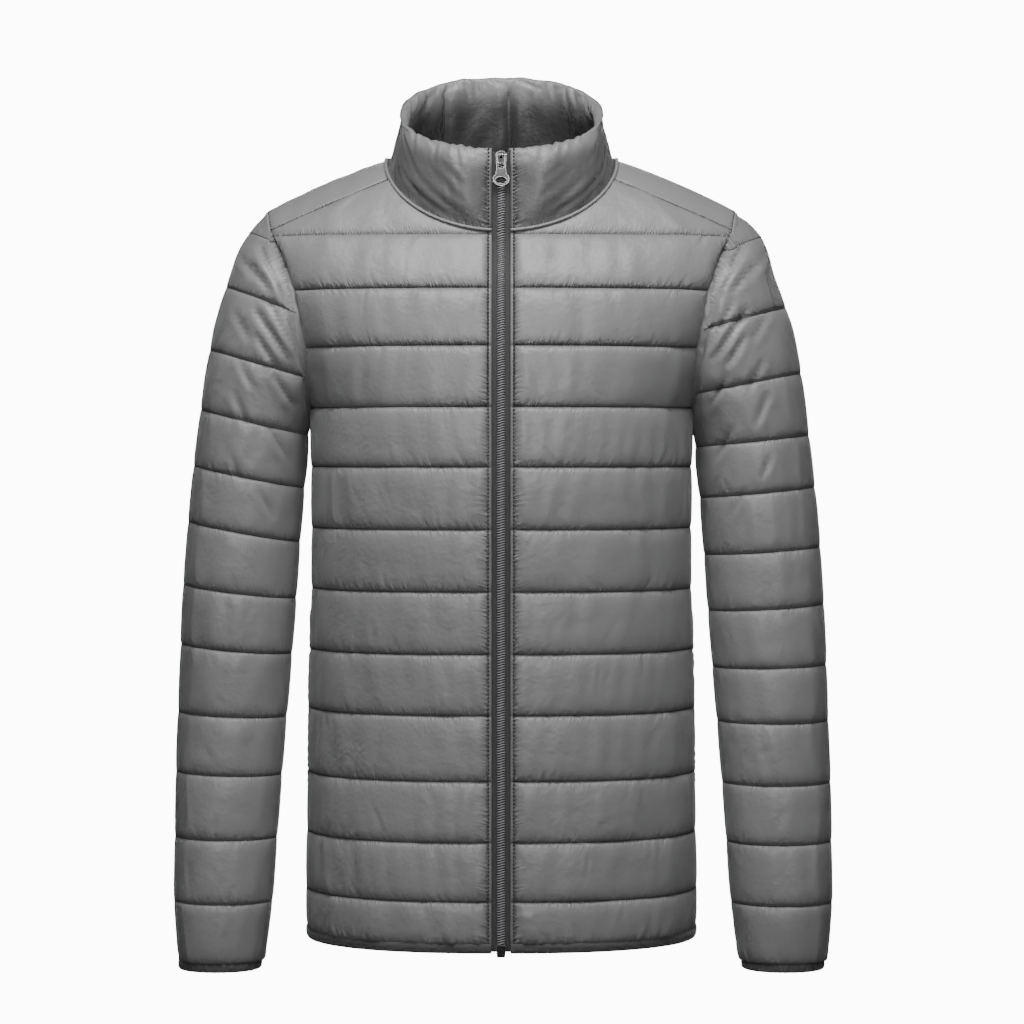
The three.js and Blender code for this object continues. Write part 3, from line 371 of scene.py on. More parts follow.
def back_half_grid():
    """The left half of the back without relief, rows from the hem up and columns from the middle out."""
    across = BACK_COLUMNS["across"]
    u = np.unique(np.r_[np.linspace(0, 1, BACK_ACROSS), across[BACK_HIGH_POINT], across[BACK_CORNER]])
    z = panel_rows(BACK_ROWS)[0][:, None]
    armhole = z > UNDERARM_Z
    end = np.where(armhole, angle_at(armhole_x["back"](z), z, "back"), 180 * DEGREE - front_edge_angle(z))
    angle = end * u[None]
    past = angle > 90 * DEGREE
    low = np.where(past[..., None], section_point(angle, z, "front"), section_point(angle, z, "back"))
    top_x, top_turn = back_top(np.interp(u, across, np.arange(len(across))))
    bow = np.interp(u, across, BACK_COLUMNS["bow"])
    up = np.linspace(0, 1, TOP_ROWS + 1)[1:, None]
    turn = mix(turn_at(low[-1, :, 0], low[-1, :, 2], "back"), top_turn, up)
    high = dome_point(mix(low[-1, :, 0], top_x, up) + 4 * up * (1 - up) * bow, turn)
    return np.concatenate([low, high]), u


def mirrored(points):
    return points * np.array([-1, 1, 1])


def grid_normals(grid, closed=False):
    """Unit normals of a grid of points, out of the side where columns run right as rows run up."""
    if closed:
        along = np.roll(grid, -1, 1) - np.roll(grid, 1, 1)
    else:
        along = np.gradient(grid, axis=1)
    return unit(np.cross(along, np.gradient(grid, axis=0)))


def run_along(grid, axis):
    """How far each point lies along its row (axis 1) or column (axis 0), in mm."""
    steps = np.linalg.norm(np.diff(grid, axis=axis), axis=-1)
    zero = np.zeros_like(steps[:1] if axis == 0 else steps[:, :1])
    return np.concatenate([zero, np.cumsum(steps, axis=axis)], axis=axis)


# Relief of quilted cloth
def pillow(t, power=2.9):
    """The height of a filled baffle from one stitch line (0) to the next (1)."""
    t = np.clip(t, 0, 1)
    return (1 - np.abs(2 * t - 1) ** power) ** (1 / power)


def waves(s, d, rng, length, stretch, count=9):
    """Soft uneven swell from -1 to 1, about length mm long along s and stretch times that along d."""
    total = 0
    for _ in range(count):
        k = 2 * math.pi / (length * rng.uniform(0.6, 1.7))
        way, slant, start = rng.choice([-1, 1]), rng.uniform(-1, 1), rng.uniform(0, 7)
        total = total + np.cos(k * s * way + k * d / stretch * slant + start)
    return total / math.sqrt(count) / 1.5


def gathers(s, d, rng, every, reach, depth, width=1.25, lean=0.0):
    """Short creases that run away from a seam at d = 0, as heights in mm. s is the way along the seam.
    s and d are grids with s rising along axis 1."""
    out = np.zeros_like(s)
    low, high = s.min(), s.max()
    row = s[len(s) // 2]
    place = low
    while place < high:
        place += every * rng.uniform(0.45, 1.6)
        bunch = 0.55 + 0.45 * math.sin(place / 17 + rng.uniform(-0.6, 0.6))
        long_ = reach * rng.uniform(0.4, 1.35) * (0.5 + 0.5 * bunch)
        deep = depth * rng.uniform(0.35, 1.1) * (0.35 + 0.65 * bunch)
        slant = lean + rng.normal(0, 0.28)
        wide = width * rng.uniform(0.8, 1.5)
        room = long_ * abs(slant) + 6 * wide
        a, b = np.searchsorted(row, [place - room - 6, place + room + 6])
        if b - a < 2:
            continue
        dd = d[:, a:b]
        off = (s[:, a:b] - place - slant * dd) / (wide * (1 + dd / long_))
        fade = np.clip(1 - dd / long_, 0, 1) ** 1.2 * (1 - np.exp(-dd / 0.7))
        out[:, a:b] -= deep * fade * np.exp(-np.abs(off) ** 1.5)
        out[:, a:b] += 0.35 * deep * fade * np.exp(-((np.abs(off) - 2) ** 2))
    return out


def press_folds(height, s, d, folds):
    """Presses creases into heights, each from one place to another, with its half width and depth."""
    for s0, d0, s1, d1, wide, deep in folds:
        length = math.hypot(s1 - s0, d1 - d0)
        way = ((s1 - s0) / length, (d1 - d0) / length)
        reach = length / 2 + 5 * wide
        near = (np.abs(s - (s0 + s1) / 2) < reach) & (np.abs(d - (d0 + d1) / 2) < reach)
        along = (s[near] - s0) * way[0] + (d[near] - d0) * way[1]
        off = (d[near] - d0) * way[0] - (s[near] - s0) * way[1]
        t = np.clip(along / length, 0, 1)
        past = np.abs(along - t * length)
        taper = np.sqrt(4 * t * (1 - t)) * np.exp(-past / wide)
        valley = np.exp(-np.abs(off / wide) ** 1.5)
        ridge = 0.6 * np.exp(-((off / wide - 1.9) ** 2)) + 0.25 * np.exp(-((off / wide + 2.1) ** 2))
        height[near] += deep * taper * (ridge - valley)


def loose_folds(rng, s, d, count, reach, deep):
    """Random soft creases over a baffle, mostly steep."""
    found = []
    for _ in range(count):
        place, level = rng.uniform(s.min(), s.max()), rng.uniform(d.min(), d.max())
        lean, half = rng.normal(0, 0.7), reach * rng.uniform(0.3, 1) / 2
        way = (half * math.sin(lean), half * math.cos(lean))
        found.append((place - way[0], level - way[1], place + way[0], level + way[1], rng.uniform(1.6, 3.4),
                      deep * rng.uniform(0.3, 1)))
    return found


# One loose fold for so much width of a baffle, and such a fold's reach and depth
FOLD_SPACE = 22
LOOSE_FOLD = (26, 0.55)


def quilted(t, baffle, low_d, high_d, s, loft, seed, lean, reach=(14, 8)):
    """Heights of rows of baffles over their stitch lines. low_d and high_d are the distances to the stitch
    lines below and above."""
    height = np.zeros_like(s)
    for k in np.unique(baffle):
        rng = np.random.default_rng(seed * 100 + int(k))
        rows = np.flatnonzero(baffle == k)
        part = slice(rows[0], rows[-1] + 1)
        sag = t[part, None] ** 0.9
        swell = 1 + 0.13 * waves(s[part], low_d[part], rng, 70, 1.5)
        height[part] = loft * pillow(sag) * swell
        height[part] += 0.5 * waves(s[part], low_d[part], rng, 24, 3.5) * pillow(t[part, None])
        height[part] += gathers(s[part], low_d[part], rng, 5.0, reach[0], 0.95, 1.2, lean)
        height[part] += gathers(s[part], high_d[part], rng, 5.0, reach[1], 0.75, 1.15, -lean)
        width = s[part].max() - s[part].min()
        folds = loose_folds(rng, s[part], low_d[part], int(width / FOLD_SPACE), *LOOSE_FOLD)
        press_folds(height[part], s[part], low_d[part], folds)
    return height


def edge_rise(d, width, power=2.2):
    """0 at an edge, and 1 from width on."""
    return (1 - (1 - np.clip(d / width, 0, 1)) ** power) ** (1 / power)


# Meshes
def tidy_faces(quads):
    """Quads as a list of faces, with those that have two equal corners as triangles or left out."""
    same = quads == np.roll(quads, -1, axis=1)
    count = same.sum(axis=1)
    faces = quads[count == 0].tolist()
    for q, twice in zip(quads[count == 1].tolist(), same[count == 1].tolist()):
        del q[twice.index(True)]
        faces.append(q)
    return faces


def grid_faces(ids, closed=False):
    right = np.roll(ids, -1, axis=1) if closed else ids[:, 1:]
    left = ids if closed else ids[:, :-1]
    quads = np.stack([left[:-1], right[:-1], right[1:], left[1:]], -1)
    return tidy_faces(quads.reshape(-1, 4))


def between(a, b):
    """Triangles between two lines of (place, index) pairs that run side by side."""
    faces, i, j = [], 0, 0
    while i < len(a) - 1 or j < len(b) - 1:
        step = j == len(b) - 1 or (i < len(a) - 1 and a[i + 1][0] <= b[j + 1][0])
        faces.append([a[i][1], a[i + 1][1], b[j][1]] if step else [a[i][1], b[j + 1][1], b[j][1]])
        i, j = (i + 1, j) if step else (i, j + 1)
    return [f for f in faces if len(set(f)) == 3]


def piece(name, verts, faces, material, nodes=(), smooth_faces=True, body="jacket"):
    """A mesh object from points in mm, facing out, that rides on a body and stands for CAD nodes."""
    verts = np.asarray(verts) / 1000
    mesh = bpy.data.meshes.new(name)
    mesh.from_pydata(verts.tolist(), [], faces)
    mesh.update()
    tri = np.array([[f[0], f[i], f[i + 1]] for f in faces for i in range(1, len(f) - 1)])
    a, b, c = verts[tri[:, 0]], verts[tri[:, 1]], verts[tri[:, 2]]
    if float((a * np.cross(b, c)).sum()) < 0:
        mesh.flip_normals()
    mesh.polygons.foreach_set("use_smooth", [smooth_faces] * len(mesh.polygons))
    obj = bpy.data.objects.new(name, mesh)
    bpy.context.collection.objects.link(obj)
    mesh.materials.append(material)
    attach(obj, body)
    if nodes:
        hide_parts(*nodes)
    return obj


def paint(obj, name, values):
    """Stores one number for each vertex, for the material to read."""
    layer = obj.data.attributes.new(name, "FLOAT", "POINT")
    values = np.asarray(values, np.float32).ravel()
    whole = np.zeros(len(obj.data.vertices), np.float32)
    whole[: len(values)] = values
    layer.data.foreach_set("value", whole)


def declare_cut(grid, closed=False, layers=1):
    if closed:
        grid = np.concatenate([grid, grid[:, :1]], axis=1)
    width, length = (run_along(grid, axis).max() / 1000 for axis in (1, 0))
    width /= layers


INSIDE_STEP = 4


def wall(name, outer, inner, closed, material, nodes, ids=None, marks=None):
    """A closed wall between an outer grid and a plain inner one, which keeps every fourth row and column."""
    rows, columns = outer.shape[:2]
    if ids is None:
        ids = np.arange(rows * columns).reshape(rows, columns)
    keep_r = np.unique(np.r_[0 : rows - 1 : INSIDE_STEP, rows - 1])
    keep_c = np.r_[0:columns:INSIDE_STEP]
    if not closed:
        keep_c = np.unique(np.r_[0 : columns - 1 : INSIDE_STEP, columns - 1])
    inner_ids = ids[np.ix_(keep_r, keep_c)] + rows * columns
    faces = grid_faces(ids, closed)
    faces += [f[::-1] for f in grid_faces(inner_ids, closed)]

    def ring(line, places, count):
        found = [(int(p), int(i)) for p, i in zip(places, line)]
        return found + [(count, int(line[0]))] if closed else found

    for r, k, flip in ((0, 0, True), (rows - 1, len(keep_r) - 1, False)):
        edge = between(ring(ids[r], range(columns), columns), ring(inner_ids[k], keep_c, columns))
        faces += [f[::-1] for f in edge] if flip else edge
    if not closed:
        for c, k, flip in ((0, 0, False), (columns - 1, len(keep_c) - 1, True)):
            a = [(int(r), int(i)) for r, i in enumerate(ids[:, c])]
            b = [(int(r), int(i)) for r, i in zip(keep_r, inner_ids[:, k])]
            edge = between(a, b)
            faces += [f[::-1] for f in edge] if flip else edge
    verts = np.concatenate([outer.reshape(-1, 3), inner.reshape(-1, 3)])
    used = np.unique(np.concatenate([np.ravel(f) for f in faces]))
    new = np.zeros(len(verts), int)
    new[used] = np.arange(len(used))
    obj = piece(name, verts[used], [new[f].tolist() for f in map(np.array, faces)], material, nodes)
    for mark, values in marks.items():
        # The inside of the wall gets no painted shade or highlight and no pleats
        plain = 0 if mark == "painted_shade_and_highlight" else 99
        paint(obj, mark, np.concatenate([values.ravel(), np.full(rows * columns, plain)])[used])
    return obj


# Materials
def new_material(name):
    mat = bpy.data.materials.new(name)
    mat.use_nodes = True
    nodes, links = mat.node_tree.nodes, mat.node_tree.links
    return mat, nodes, links, nodes["Principled BSDF"]


def noise(nodes, links, coordinates, scale, detail=3.0, roughness=0.5):
    node = nodes.new("ShaderNodeTexNoise")
    node.inputs["Scale"].default_value = scale
    node.inputs["Detail"].default_value = detail
    node.inputs["Roughness"].default_value = roughness
    links.new(coordinates, node.inputs["Vector"])
    return node.outputs["Fac"]


def math_node(nodes, links, kind, a, b):
    node = nodes.new("ShaderNodeMath")
    node.operation = kind
    for socket, value in zip(node.inputs, (a, b)):
        if isinstance(value, (int, float)):
            socket.default_value = value
        else:
            links.new(value, socket)
    return node.outputs[0]


def ramp(nodes, links, value, stops):
    node = nodes.new("ShaderNodeValToRGB")
    while len(node.color_ramp.elements) < len(stops):
        node.color_ramp.elements.new(0.5)
    for element, (at, colour) in zip(node.color_ramp.elements, stops):
        element.position = at
        element.color = (*colour, 1)
    links.new(value, node.inputs["Fac"])
    return node.outputs["Color"]


def bump(nodes, links, height, distance, strength=1.0):
    node = nodes.new("ShaderNodeBump")
    node.inputs["Distance"].default_value = distance
    node.inputs["Strength"].default_value = strength
    links.new(height, node.inputs["Height"])
    return node.outputs["Normal"]


def grey(value, tint=0.012):
    return (value, value, value * (1 + tint))


def attribute(nodes, name):
    node = nodes.new("ShaderNodeAttribute")
    node.attribute_name = name
    return node.outputs["Fac"]


def fine_creases(nodes, links, along, away, lean, every, reach, seed):
    """Fine pleats that run away from a seam, as a depth from 0 to 1. along and away are in mm."""

    def calc(kind, a, b=0.0):
        return math_node(nodes, links, kind, a, b)

    place = nodes.new("ShaderNodeCombineXYZ")
    links.new(calc("DIVIDE", calc("SUBTRACT", along, calc("MULTIPLY", away, lean)), every), place.inputs[0])
    links.new(calc("DIVIDE", away, every * 6), place.inputs[1])
    place.inputs[2].default_value = seed
    swing = calc("ABSOLUTE", calc("SUBTRACT", noise(nodes, links, place.outputs[0], 1, 1.5, 0.55), 0.5))
    valley = calc("SUBTRACT", 1.0, calc("MINIMUM", calc("MULTIPLY", swing, 6.5), 1.0))
    patch = nodes.new("ShaderNodeCombineXYZ")
    links.new(calc("DIVIDE", along, 22.0), patch.inputs[0])
    patch.inputs[1].default_value = seed + 5
    patch_level = noise(nodes, links, patch.outputs[0], 1, 1, 0.5)
    length = calc("ADD", calc("MULTIPLY", calc("MULTIPLY", patch_level, patch_level), 2.6 * reach), 0.25 * reach)
    fade = calc("EXPONENT", calc("MULTIPLY", calc("DIVIDE", away, length), -1.0))
    return calc("MULTIPLY", valley, fade)


def shell_material():
    """Thin nylon with a soft sheen: fine pleats at the seams, a crinkle, a plain weave, painted shade along
    stitch lines, in creases and in pleat valleys, and painted highlights on a few edges and seams.
    """
    mat, nodes, links, shader = new_material("shell_nylon")

    def calc(kind, a, b):
        return math_node(nodes, links, kind, a, b)

    place = nodes.new("ShaderNodeTexCoord").outputs["Object"]
    crinkle = noise(nodes, links, place, 260, 4, 0.6)
    broad = noise(nodes, links, place, 30, 3, 0.55)
    cloud = noise(nodes, links, place, 5, 2, 0.5)
    along, above, below, edge, level = (attribute(nodes, n) for n in ("along", "above", "below", "edge", "level"))
    pleats = fine_creases(nodes, links, along, above, 0.42, 2.8, 2.6, 1.0)
    pleats = calc("ADD", pleats, fine_creases(nodes, links, along, below, -0.3, 2.8, 2.0, 7.0))
    pleats = calc("ADD", pleats, fine_creases(nodes, links, level, edge, 0.3, 4.4, 3.2, 13.0))
    tone = calc("ADD", calc("MULTIPLY", cloud, 0.5), 0.25)
    # Painted shade and highlight stored on the mesh: a positive value darkens the colour, a negative one lightens
    # it
    tone = calc("MULTIPLY", tone, calc("SUBTRACT", 1.0, attribute(nodes, "painted_shade_and_highlight")))
    # Pleat valleys also darken the colour: painted shade
    tone = calc("SUBTRACT", tone, calc("MULTIPLY", pleats, 0.26))
    # The lightest stop is reached only where a painted highlight lightens the tone
    greys = [(0.0, grey(0.03)), (0.3, grey(0.185)), (0.7, grey(0.225)), (1.0, grey(0.42))]
    colour = ramp(nodes, links, tone, greys)
    links.new(colour, shader.inputs["Base Color"])
    links.new(calc("ADD", calc("MULTIPLY", crinkle, 0.16), 0.34), shader.inputs["Roughness"])
    weave = nodes.new("ShaderNodeTexVoronoi")
    weave.inputs["Scale"].default_value = 2400
    links.new(place, weave.inputs["Vector"])
    relief = calc("ADD", calc("MULTIPLY", broad, 1.1), calc("MULTIPLY", crinkle, 0.25))
    relief = calc("ADD", relief, calc("MULTIPLY", weave.outputs["Distance"], 0.02))
    relief = calc("SUBTRACT", relief, calc("MULTIPLY", pleats, 0.9))
    links.new(bump(nodes, links, relief, 0.0014), shader.inputs["Normal"])
    shader.inputs["Specular IOR Level"].default_value = 0.45
    shader.inputs["Sheen Weight"].default_value = 0.12
    shader.inputs["Sheen Roughness"].default_value = 0.4
    return mat


def cloth_material(name, dark, light, scale, roughness):
    """Matt woven or knitted trim."""
    mat, nodes, links, shader = new_material(name)
    place = nodes.new("ShaderNodeTexCoord").outputs["Object"]
    ribs = nodes.new("ShaderNodeTexWave")
    ribs.bands_direction = "Z"
    ribs.inputs["Scale"].default_value = scale
    ribs.inputs["Distortion"].default_value = 1.5
    ribs.inputs["Detail"].default_value = 2
    links.new(place, ribs.inputs["Vector"])
    fuzz = noise(nodes, links, place, 900, 3, 0.6)
    tone = math_node(nodes, links, "MULTIPLY", ribs.outputs["Fac"], 0.5)
    tone = math_node(nodes, links, "ADD", tone, math_node(nodes, links, "MULTIPLY", fuzz, 0.5))
    links.new(ramp(nodes, links, tone, [(0.15, grey(dark)), (0.85, grey(light))]), shader.inputs["Base Color"])
    links.new(bump(nodes, links, tone, 0.0004), shader.inputs["Normal"])
    shader.inputs["Roughness"].default_value = roughness
    shader.inputs["Sheen Weight"].default_value = 0.2
    return mat


def hard_material(name, dark, light, metallic, roughness, edge=None):
    """Metal or plastic with fine wear in its gloss and colour, and edges brighter over a width in mm."""
    mat, nodes, links, shader = new_material(name)
    place = nodes.new("ShaderNodeTexCoord").outputs["Object"]
    wear = noise(nodes, links, place, 500, 4, 0.65)
    colour = ramp(nodes, links, wear, [(0.3, grey(dark)), (0.75, grey(light))])
    if edge:
        rounded = nodes.new("ShaderNodeBevel")
        rounded.samples = 8
        rounded.inputs["Radius"].default_value = edge / 1000
        turned = nodes.new("ShaderNodeVectorMath")
        turned.operation = "DOT_PRODUCT"
        links.new(rounded.outputs["Normal"], turned.inputs[0])
        links.new(nodes.new("ShaderNodeNewGeometry").outputs["Normal"], turned.inputs[1])
        rim = ramp(nodes, links, turned.outputs["Value"], [(0.9, grey(1.0)), (0.995, grey(0.0))])
        blend = nodes.new("ShaderNodeMix")
        blend.data_type = "RGBA"
        links.new(rim, blend.inputs["Factor"])
        links.new(colour, blend.inputs["A"])
        blend.inputs["B"].default_value = (0.85, 0.85, 0.86, 1)
        colour = blend.outputs["Result"]
    links.new(colour, shader.inputs["Base Color"])
    dull = math_node(nodes, links, "MULTIPLY", wear, 0.25)
    links.new(math_node(nodes, links, "ADD", dull, roughness), shader.inputs["Roughness"])
    links.new(bump(nodes, links, wear, 0.00008), shader.inputs["Normal"])
    shader.inputs["Metallic"].default_value = metallic
    return mat


SHELL = shell_material()
BINDING = cloth_material("stretch_binding", 0.04, 0.085, 300, 0.85)
TAPE = cloth_material("zip_tape_weave", 0.015, 0.05, 420, 0.75)
# Near-black thread: its dark colour also stands in for the shade in the stitch holes, as painted shade
THREAD_AND_HOLE_SHADE = cloth_material("sewing_thread_and_hole_shade", 0.006, 0.02, 900, 0.8)
TEETH = hard_material("zip_coil_nylon", 0.22, 0.4, 0.0, 0.28)
METAL = hard_material("pull_tab_metal", 0.04, 0.12, 1.0, 0.25, 0.55)
DARK_METAL = hard_material("slider_metal", 0.03, 0.09, 1.0, 0.25, 0.4)

# Sewing: short thread pieces along seams
def many(count, shape_points, shape_faces):
    """Faces of many copies of one small shape."""
    return [[v + k * shape_points for v in f] for k in range(count) for f in shape_faces]


def tube_faces(rings, sides):
    ids = np.arange(rings * sides).reshape(rings, sides)
    faces = grid_faces(ids, True)
    return faces + [ids[0][::-1].tolist(), ids[-1].tolist()]


def stitches(name, lines):
    """Thread pieces along lines, each given as its points, the way out of the cloth there, and its pitch and
    radius."""
    sides, rings, swell = 4, np.array([-0.5, 0, 0.5]), np.array([0.45, 1, 0.45])
    turn = np.linspace(0, 2 * math.pi, sides, endpoint=False)
    made = []
    for points, out, pitch, radius in lines:
        run = run_along(points[None], 1)[0]
        at = np.arange(pitch / 2, run[-1], pitch)
        spots = [np.stack([np.interp(q, run, v) for v in points.T], -1) for q in (at, at + 1, at - 1)]
        place, ahead, behind = spots
        way = unit(ahead - behind)
        up = unit(np.stack([np.interp(at, run, v) for v in out.T], -1))
        across = np.cross(way, up)
        rise = 0.12 + 0.35 * (1 - (2 * rings) ** 2)
        reach = rings * 0.66 * pitch
        core = place[:, None] + way[:, None] * reach[None, :, None] + up[:, None] * rise[None, :, None]
        ring = across[:, None, None] * np.cos(turn)[:, None] + up[:, None, None] * np.sin(turn)[:, None]
        made.append(core[:, :, None] + ring * (radius * swell)[None, :, None, None])
    pts = np.concatenate(made)
    return piece(name, pts.reshape(-1, 3), many(len(pts), 3 * sides, tube_faces(3, sides)), THREAD_AND_HOLE_SHADE)


# Pitch and radius of the stitches
QUILT_STITCH = (3.0, 0.5)
EDGE_STITCH = (3.3, 0.85)


def line_at(outer, normals, distance, at):
    """The line over a grid where the distance along its rows has one value."""
    here, way = [], []
    for points, out, d in zip(outer, normals, distance):
        here.append([np.interp(at, d, v) for v in points.T])
        way.append([np.interp(at, d, v) for v in out.T])
    return np.array(here), unit(np.array(way))


# Body panels
# How far the painted shade along each stitch line reaches, and how dark it is on the line
LINE_WIDTH = 0.6
LINE_SHADE = 0.55
SIDE_LOFT, SIDE_REACH, SIDE_FILL = 0.3, 70, 1.6
# Puckers over the hem and the cuffs: spacing, reach, depth and half width
END_PUCKERS = (6.5, 24, 1.1, 1.9)
front = front_grid()
back_half, back_u = back_half_grid()
back = np.concatenate([mirrored(back_half[:, :0:-1]), back_half], axis=1)
front_n = grid_normals(front)
back_n = -grid_normals(back)


def panel_relief(grid, per_baffle, loft, top_loft, seed, lean, edges):
    """Relief heights, and the painted shade along its stitch lines, for a body panel. edges says how wide the
    cloth rises from its first and last column."""
    _, t, baffle = panel_rows(per_baffle)
    quilted_rows = len(t)
    s = run_along(grid, 1)
    up = run_along(grid, 0)
    low_d, high_d = np.zeros_like(s), np.zeros_like(s)
    for k in np.unique(baffle):
        rows = np.flatnonzero(baffle == k)
        low_d[rows] = up[rows] - up[rows[0]]
        high_d[rows] = up[rows[-1] + 1] - up[rows]
    q = slice(0, quilted_rows)
    height = np.zeros_like(s)
    height[q] = quilted(t, baffle, low_d[q], high_d[q], s[q], loft, seed, lean)
    hem_row = slice(0, per_baffle)
    height[hem_row] += gathers(s[hem_row], low_d[hem_row], np.random.default_rng(seed + 900), *END_PUCKERS)
    rng = np.random.default_rng(seed * 100 + 99)
    top = slice(quilted_rows, len(grid))
    low_d[top] = up[top] - up[quilted_rows]
    high_d[top] = up[-1] - up[top]
    height[top] = top_loft * edge_rise(low_d[top], 40) * edge_rise(high_d[top], 30)
    swell = 0.4 * waves(s[top], low_d[top], rng, 45, 1.5)
    height[top] += swell * edge_rise(high_d[top], 30) * edge_rise(low_d[top], 20)
    height[top] += gathers(s[top], low_d[top], rng, 6, 7, 0.35, 1.4)
    height[top] += gathers(s[top], high_d[top], rng, 5.5, 6, 0.4, 1.3)
    before, after = s, s[:, -1:] - s
    fade = edge_rise(before, edges[0]) * edge_rise(after, edges[1])
    near_side = smooth(1 - after / SIDE_REACH)
    if edges[0] > 1:
        near_side = np.maximum(near_side, smooth(1 - before / SIDE_REACH))
    near_side = near_side * smooth((UNDERARM_Z + 15 - grid[:, :, 2]) / 40)
    height = height * (1 - (1 - SIDE_LOFT) * near_side) + SIDE_FILL * near_side * edge_rise(up, 14)
    # Painted shade along each stitch line, darkest on the line itself
    line = np.clip(np.exp(-low_d / LINE_WIDTH) + np.exp(-high_d / LINE_WIDTH), 0, 1) * LINE_SHADE
    marks = {"painted_shade_and_highlight": line, "along": s, "above": low_d, "below": high_d, "level": up}
    marks["edge"] = np.minimum(before, after) if edges[0] > 1 else after
    return height * fade, marks


def puckers(grid, distance, rng, every, reach, depth, lean=0.0):
    """Creases that run away from a panel's side edge."""
    up = run_along(grid, 0)
    return gathers(up.T, np.maximum(distance, 0).T, rng, every, reach, depth, 1.15, lean).T


ZIP_STITCH = 2.8
# How far from the zip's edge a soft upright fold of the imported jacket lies
PACKED_FOLD = 148
# The hidden pockets' mouths in the side seams, and the bar tacks at their upper ends
POCKET_TOP, POCKET_END = -401.0, -557.0
BAR_TACKS = {"left": (-406.0,), "right": (-383.5, -402.0)}
TACK_STITCH = (1.1, 0.6)
TACK_COLUMNS = 7


def front_relief(seed):
    height, marks = panel_relief(front, FRONT_ROWS, BODY_LOFT, TOP_LOFT["front"], seed, 0.4, (0.01, 14))
    rng = np.random.default_rng(seed + 500)
    before = run_along(front, 1)
    after = marks["edge"]
    past = before - ZIP_STITCH
    height = height * edge_rise(past, 12)
    height += puckers(front, past, rng, 5, 13, 1.0, 0.25) * (past > 0)
    height += puckers(front, after, rng, 5.5, 14, 1.15)
    bent = PACKED_FOLD + 4 * waves(run_along(front, 0), 0 * before, rng, 80, 1)
    height += 0.9 * np.exp(-(((before - bent) / 9) ** 2))
    lip = 1.3 * np.exp(-(((before - 0.95) / 0.8) ** 2))
    height = np.where(past < 0, lip, height)
    # The folded lip beside the zip gets a painted highlight, and the stitch line just past it gets painted shade
    marks["painted_shade_and_highlight"] = np.where(past < -0.6, -0.9 * np.exp(-(((before - 1.0) / 0.6) ** 2)), marks["painted_shade_and_highlight"])
    marks["painted_shade_and_highlight"] = np.maximum(marks["painted_shade_and_highlight"], np.exp(-((past / 0.9) ** 2)) * 0.9)
    marks["edge"] = np.where(past < 0, 99, np.minimum(past, after))
    mouth = smooth((POCKET_TOP - front[:, :, 2]) / 3) * smooth((front[:, :, 2] - POCKET_END) / 3)
    height += mouth * 1.8 * np.exp(-(((after - 2.2) / 1.6) ** 2))
    # At the pocket mouth: painted shade in the slit, and a painted highlight on the band beside it
    edge = np.where(after < 1.2, 0.95, -0.6 * np.exp(-(((after - 2.8) / 1.0) ** 2)))
    marks["painted_shade_and_highlight"] = np.where(mouth * (after < 5) > 0.5, edge, marks["painted_shade_and_highlight"])
    return height, marks


for side, seed in (("left", 1), ("right", 2)):
    flip = np.array([1 if side == "left" else -1, 1, 1])
    height, marks = front_relief(seed)
    outer = (front + front_n * np.maximum(height, DEEPEST)[..., None]) * flip
    inner = (front - front_n * WALL) * flip
    obj = wall("front_" + side + "_cloth", outer, inner, False, SHELL, ["front_" + side], None, marks)
    declare_cut(outer)
    quilt_rows = range(FRONT_ROWS, FRONT_ROWS * len(QUILT_Z), FRONT_ROWS)
    sewn = [(outer[r, 5:], front_n[r, 5:] * flip, *QUILT_STITCH) for r in quilt_rows]
    sewn.append((*line_at(outer, front_n * flip, run_along(front, 1), ZIP_STITCH), *EDGE_STITCH))
    for level in BAR_TACKS[side]:
        r = int(np.argmin(np.abs(front[:, -1, 2] - level)))
        sewn.append((outer[r, -TACK_COLUMNS:], front_n[r, -TACK_COLUMNS:] * flip, *TACK_STITCH))
    stitches("front_" + side + "_sewing", sewn)

back_height, back_marks = panel_relief(back, BACK_ROWS, BODY_LOFT, TOP_LOFT["back"], 3, 0.1, (14, 14))
outer = back + back_n * np.maximum(back_height, DEEPEST)[..., None]
obj = wall("back_cloth", outer, back - back_n * WALL, False, SHELL, ["back"], None, back_marks)
declare_cut(outer)
quilt_rows = range(BACK_ROWS, BACK_ROWS * len(QUILT_Z), BACK_ROWS)
stitches("back_sewing", [(outer[r], back_n[r], *QUILT_STITCH) for r in quilt_rows])


# Seams that the sleeves and the collar start from
def seam_ways(points, normals, go, side, closed, extra=None):
    """The way out of the cloth on a seam, and the way across it to the new piece."""
    if closed:
        tangent = unit(np.roll(points, -1, 0) - np.roll(points, 1, 0))
    else:
        tangent = unit(np.gradient(points, axis=0))
    normal = unit(np.cross(tangent, go)) * side
    out = unit(normals + normal + (0 if extra is None else extra))
    across = unit(np.cross(tangent, out))
    across *= np.where((across * go).sum(-1, keepdims=True) < 0, -1, 1)
    return out, across


def resampled(points, count, closed, *others):
    """Points spaced evenly along a line, with other values carried along."""
    if closed:
        points = np.concatenate([points, points[:1]])
        others = [np.concatenate([o, o[:1]]) for o in others]
    run = np.r_[0, np.cumsum(np.linalg.norm(np.diff(points, axis=0), axis=1))]
    at = np.linspace(0, run[-1], count, endpoint=not closed)
    made = [np.stack([np.interp(at, run, o[:, k]) for k in range(3)], -1) for o in (points, *others)]
    return made


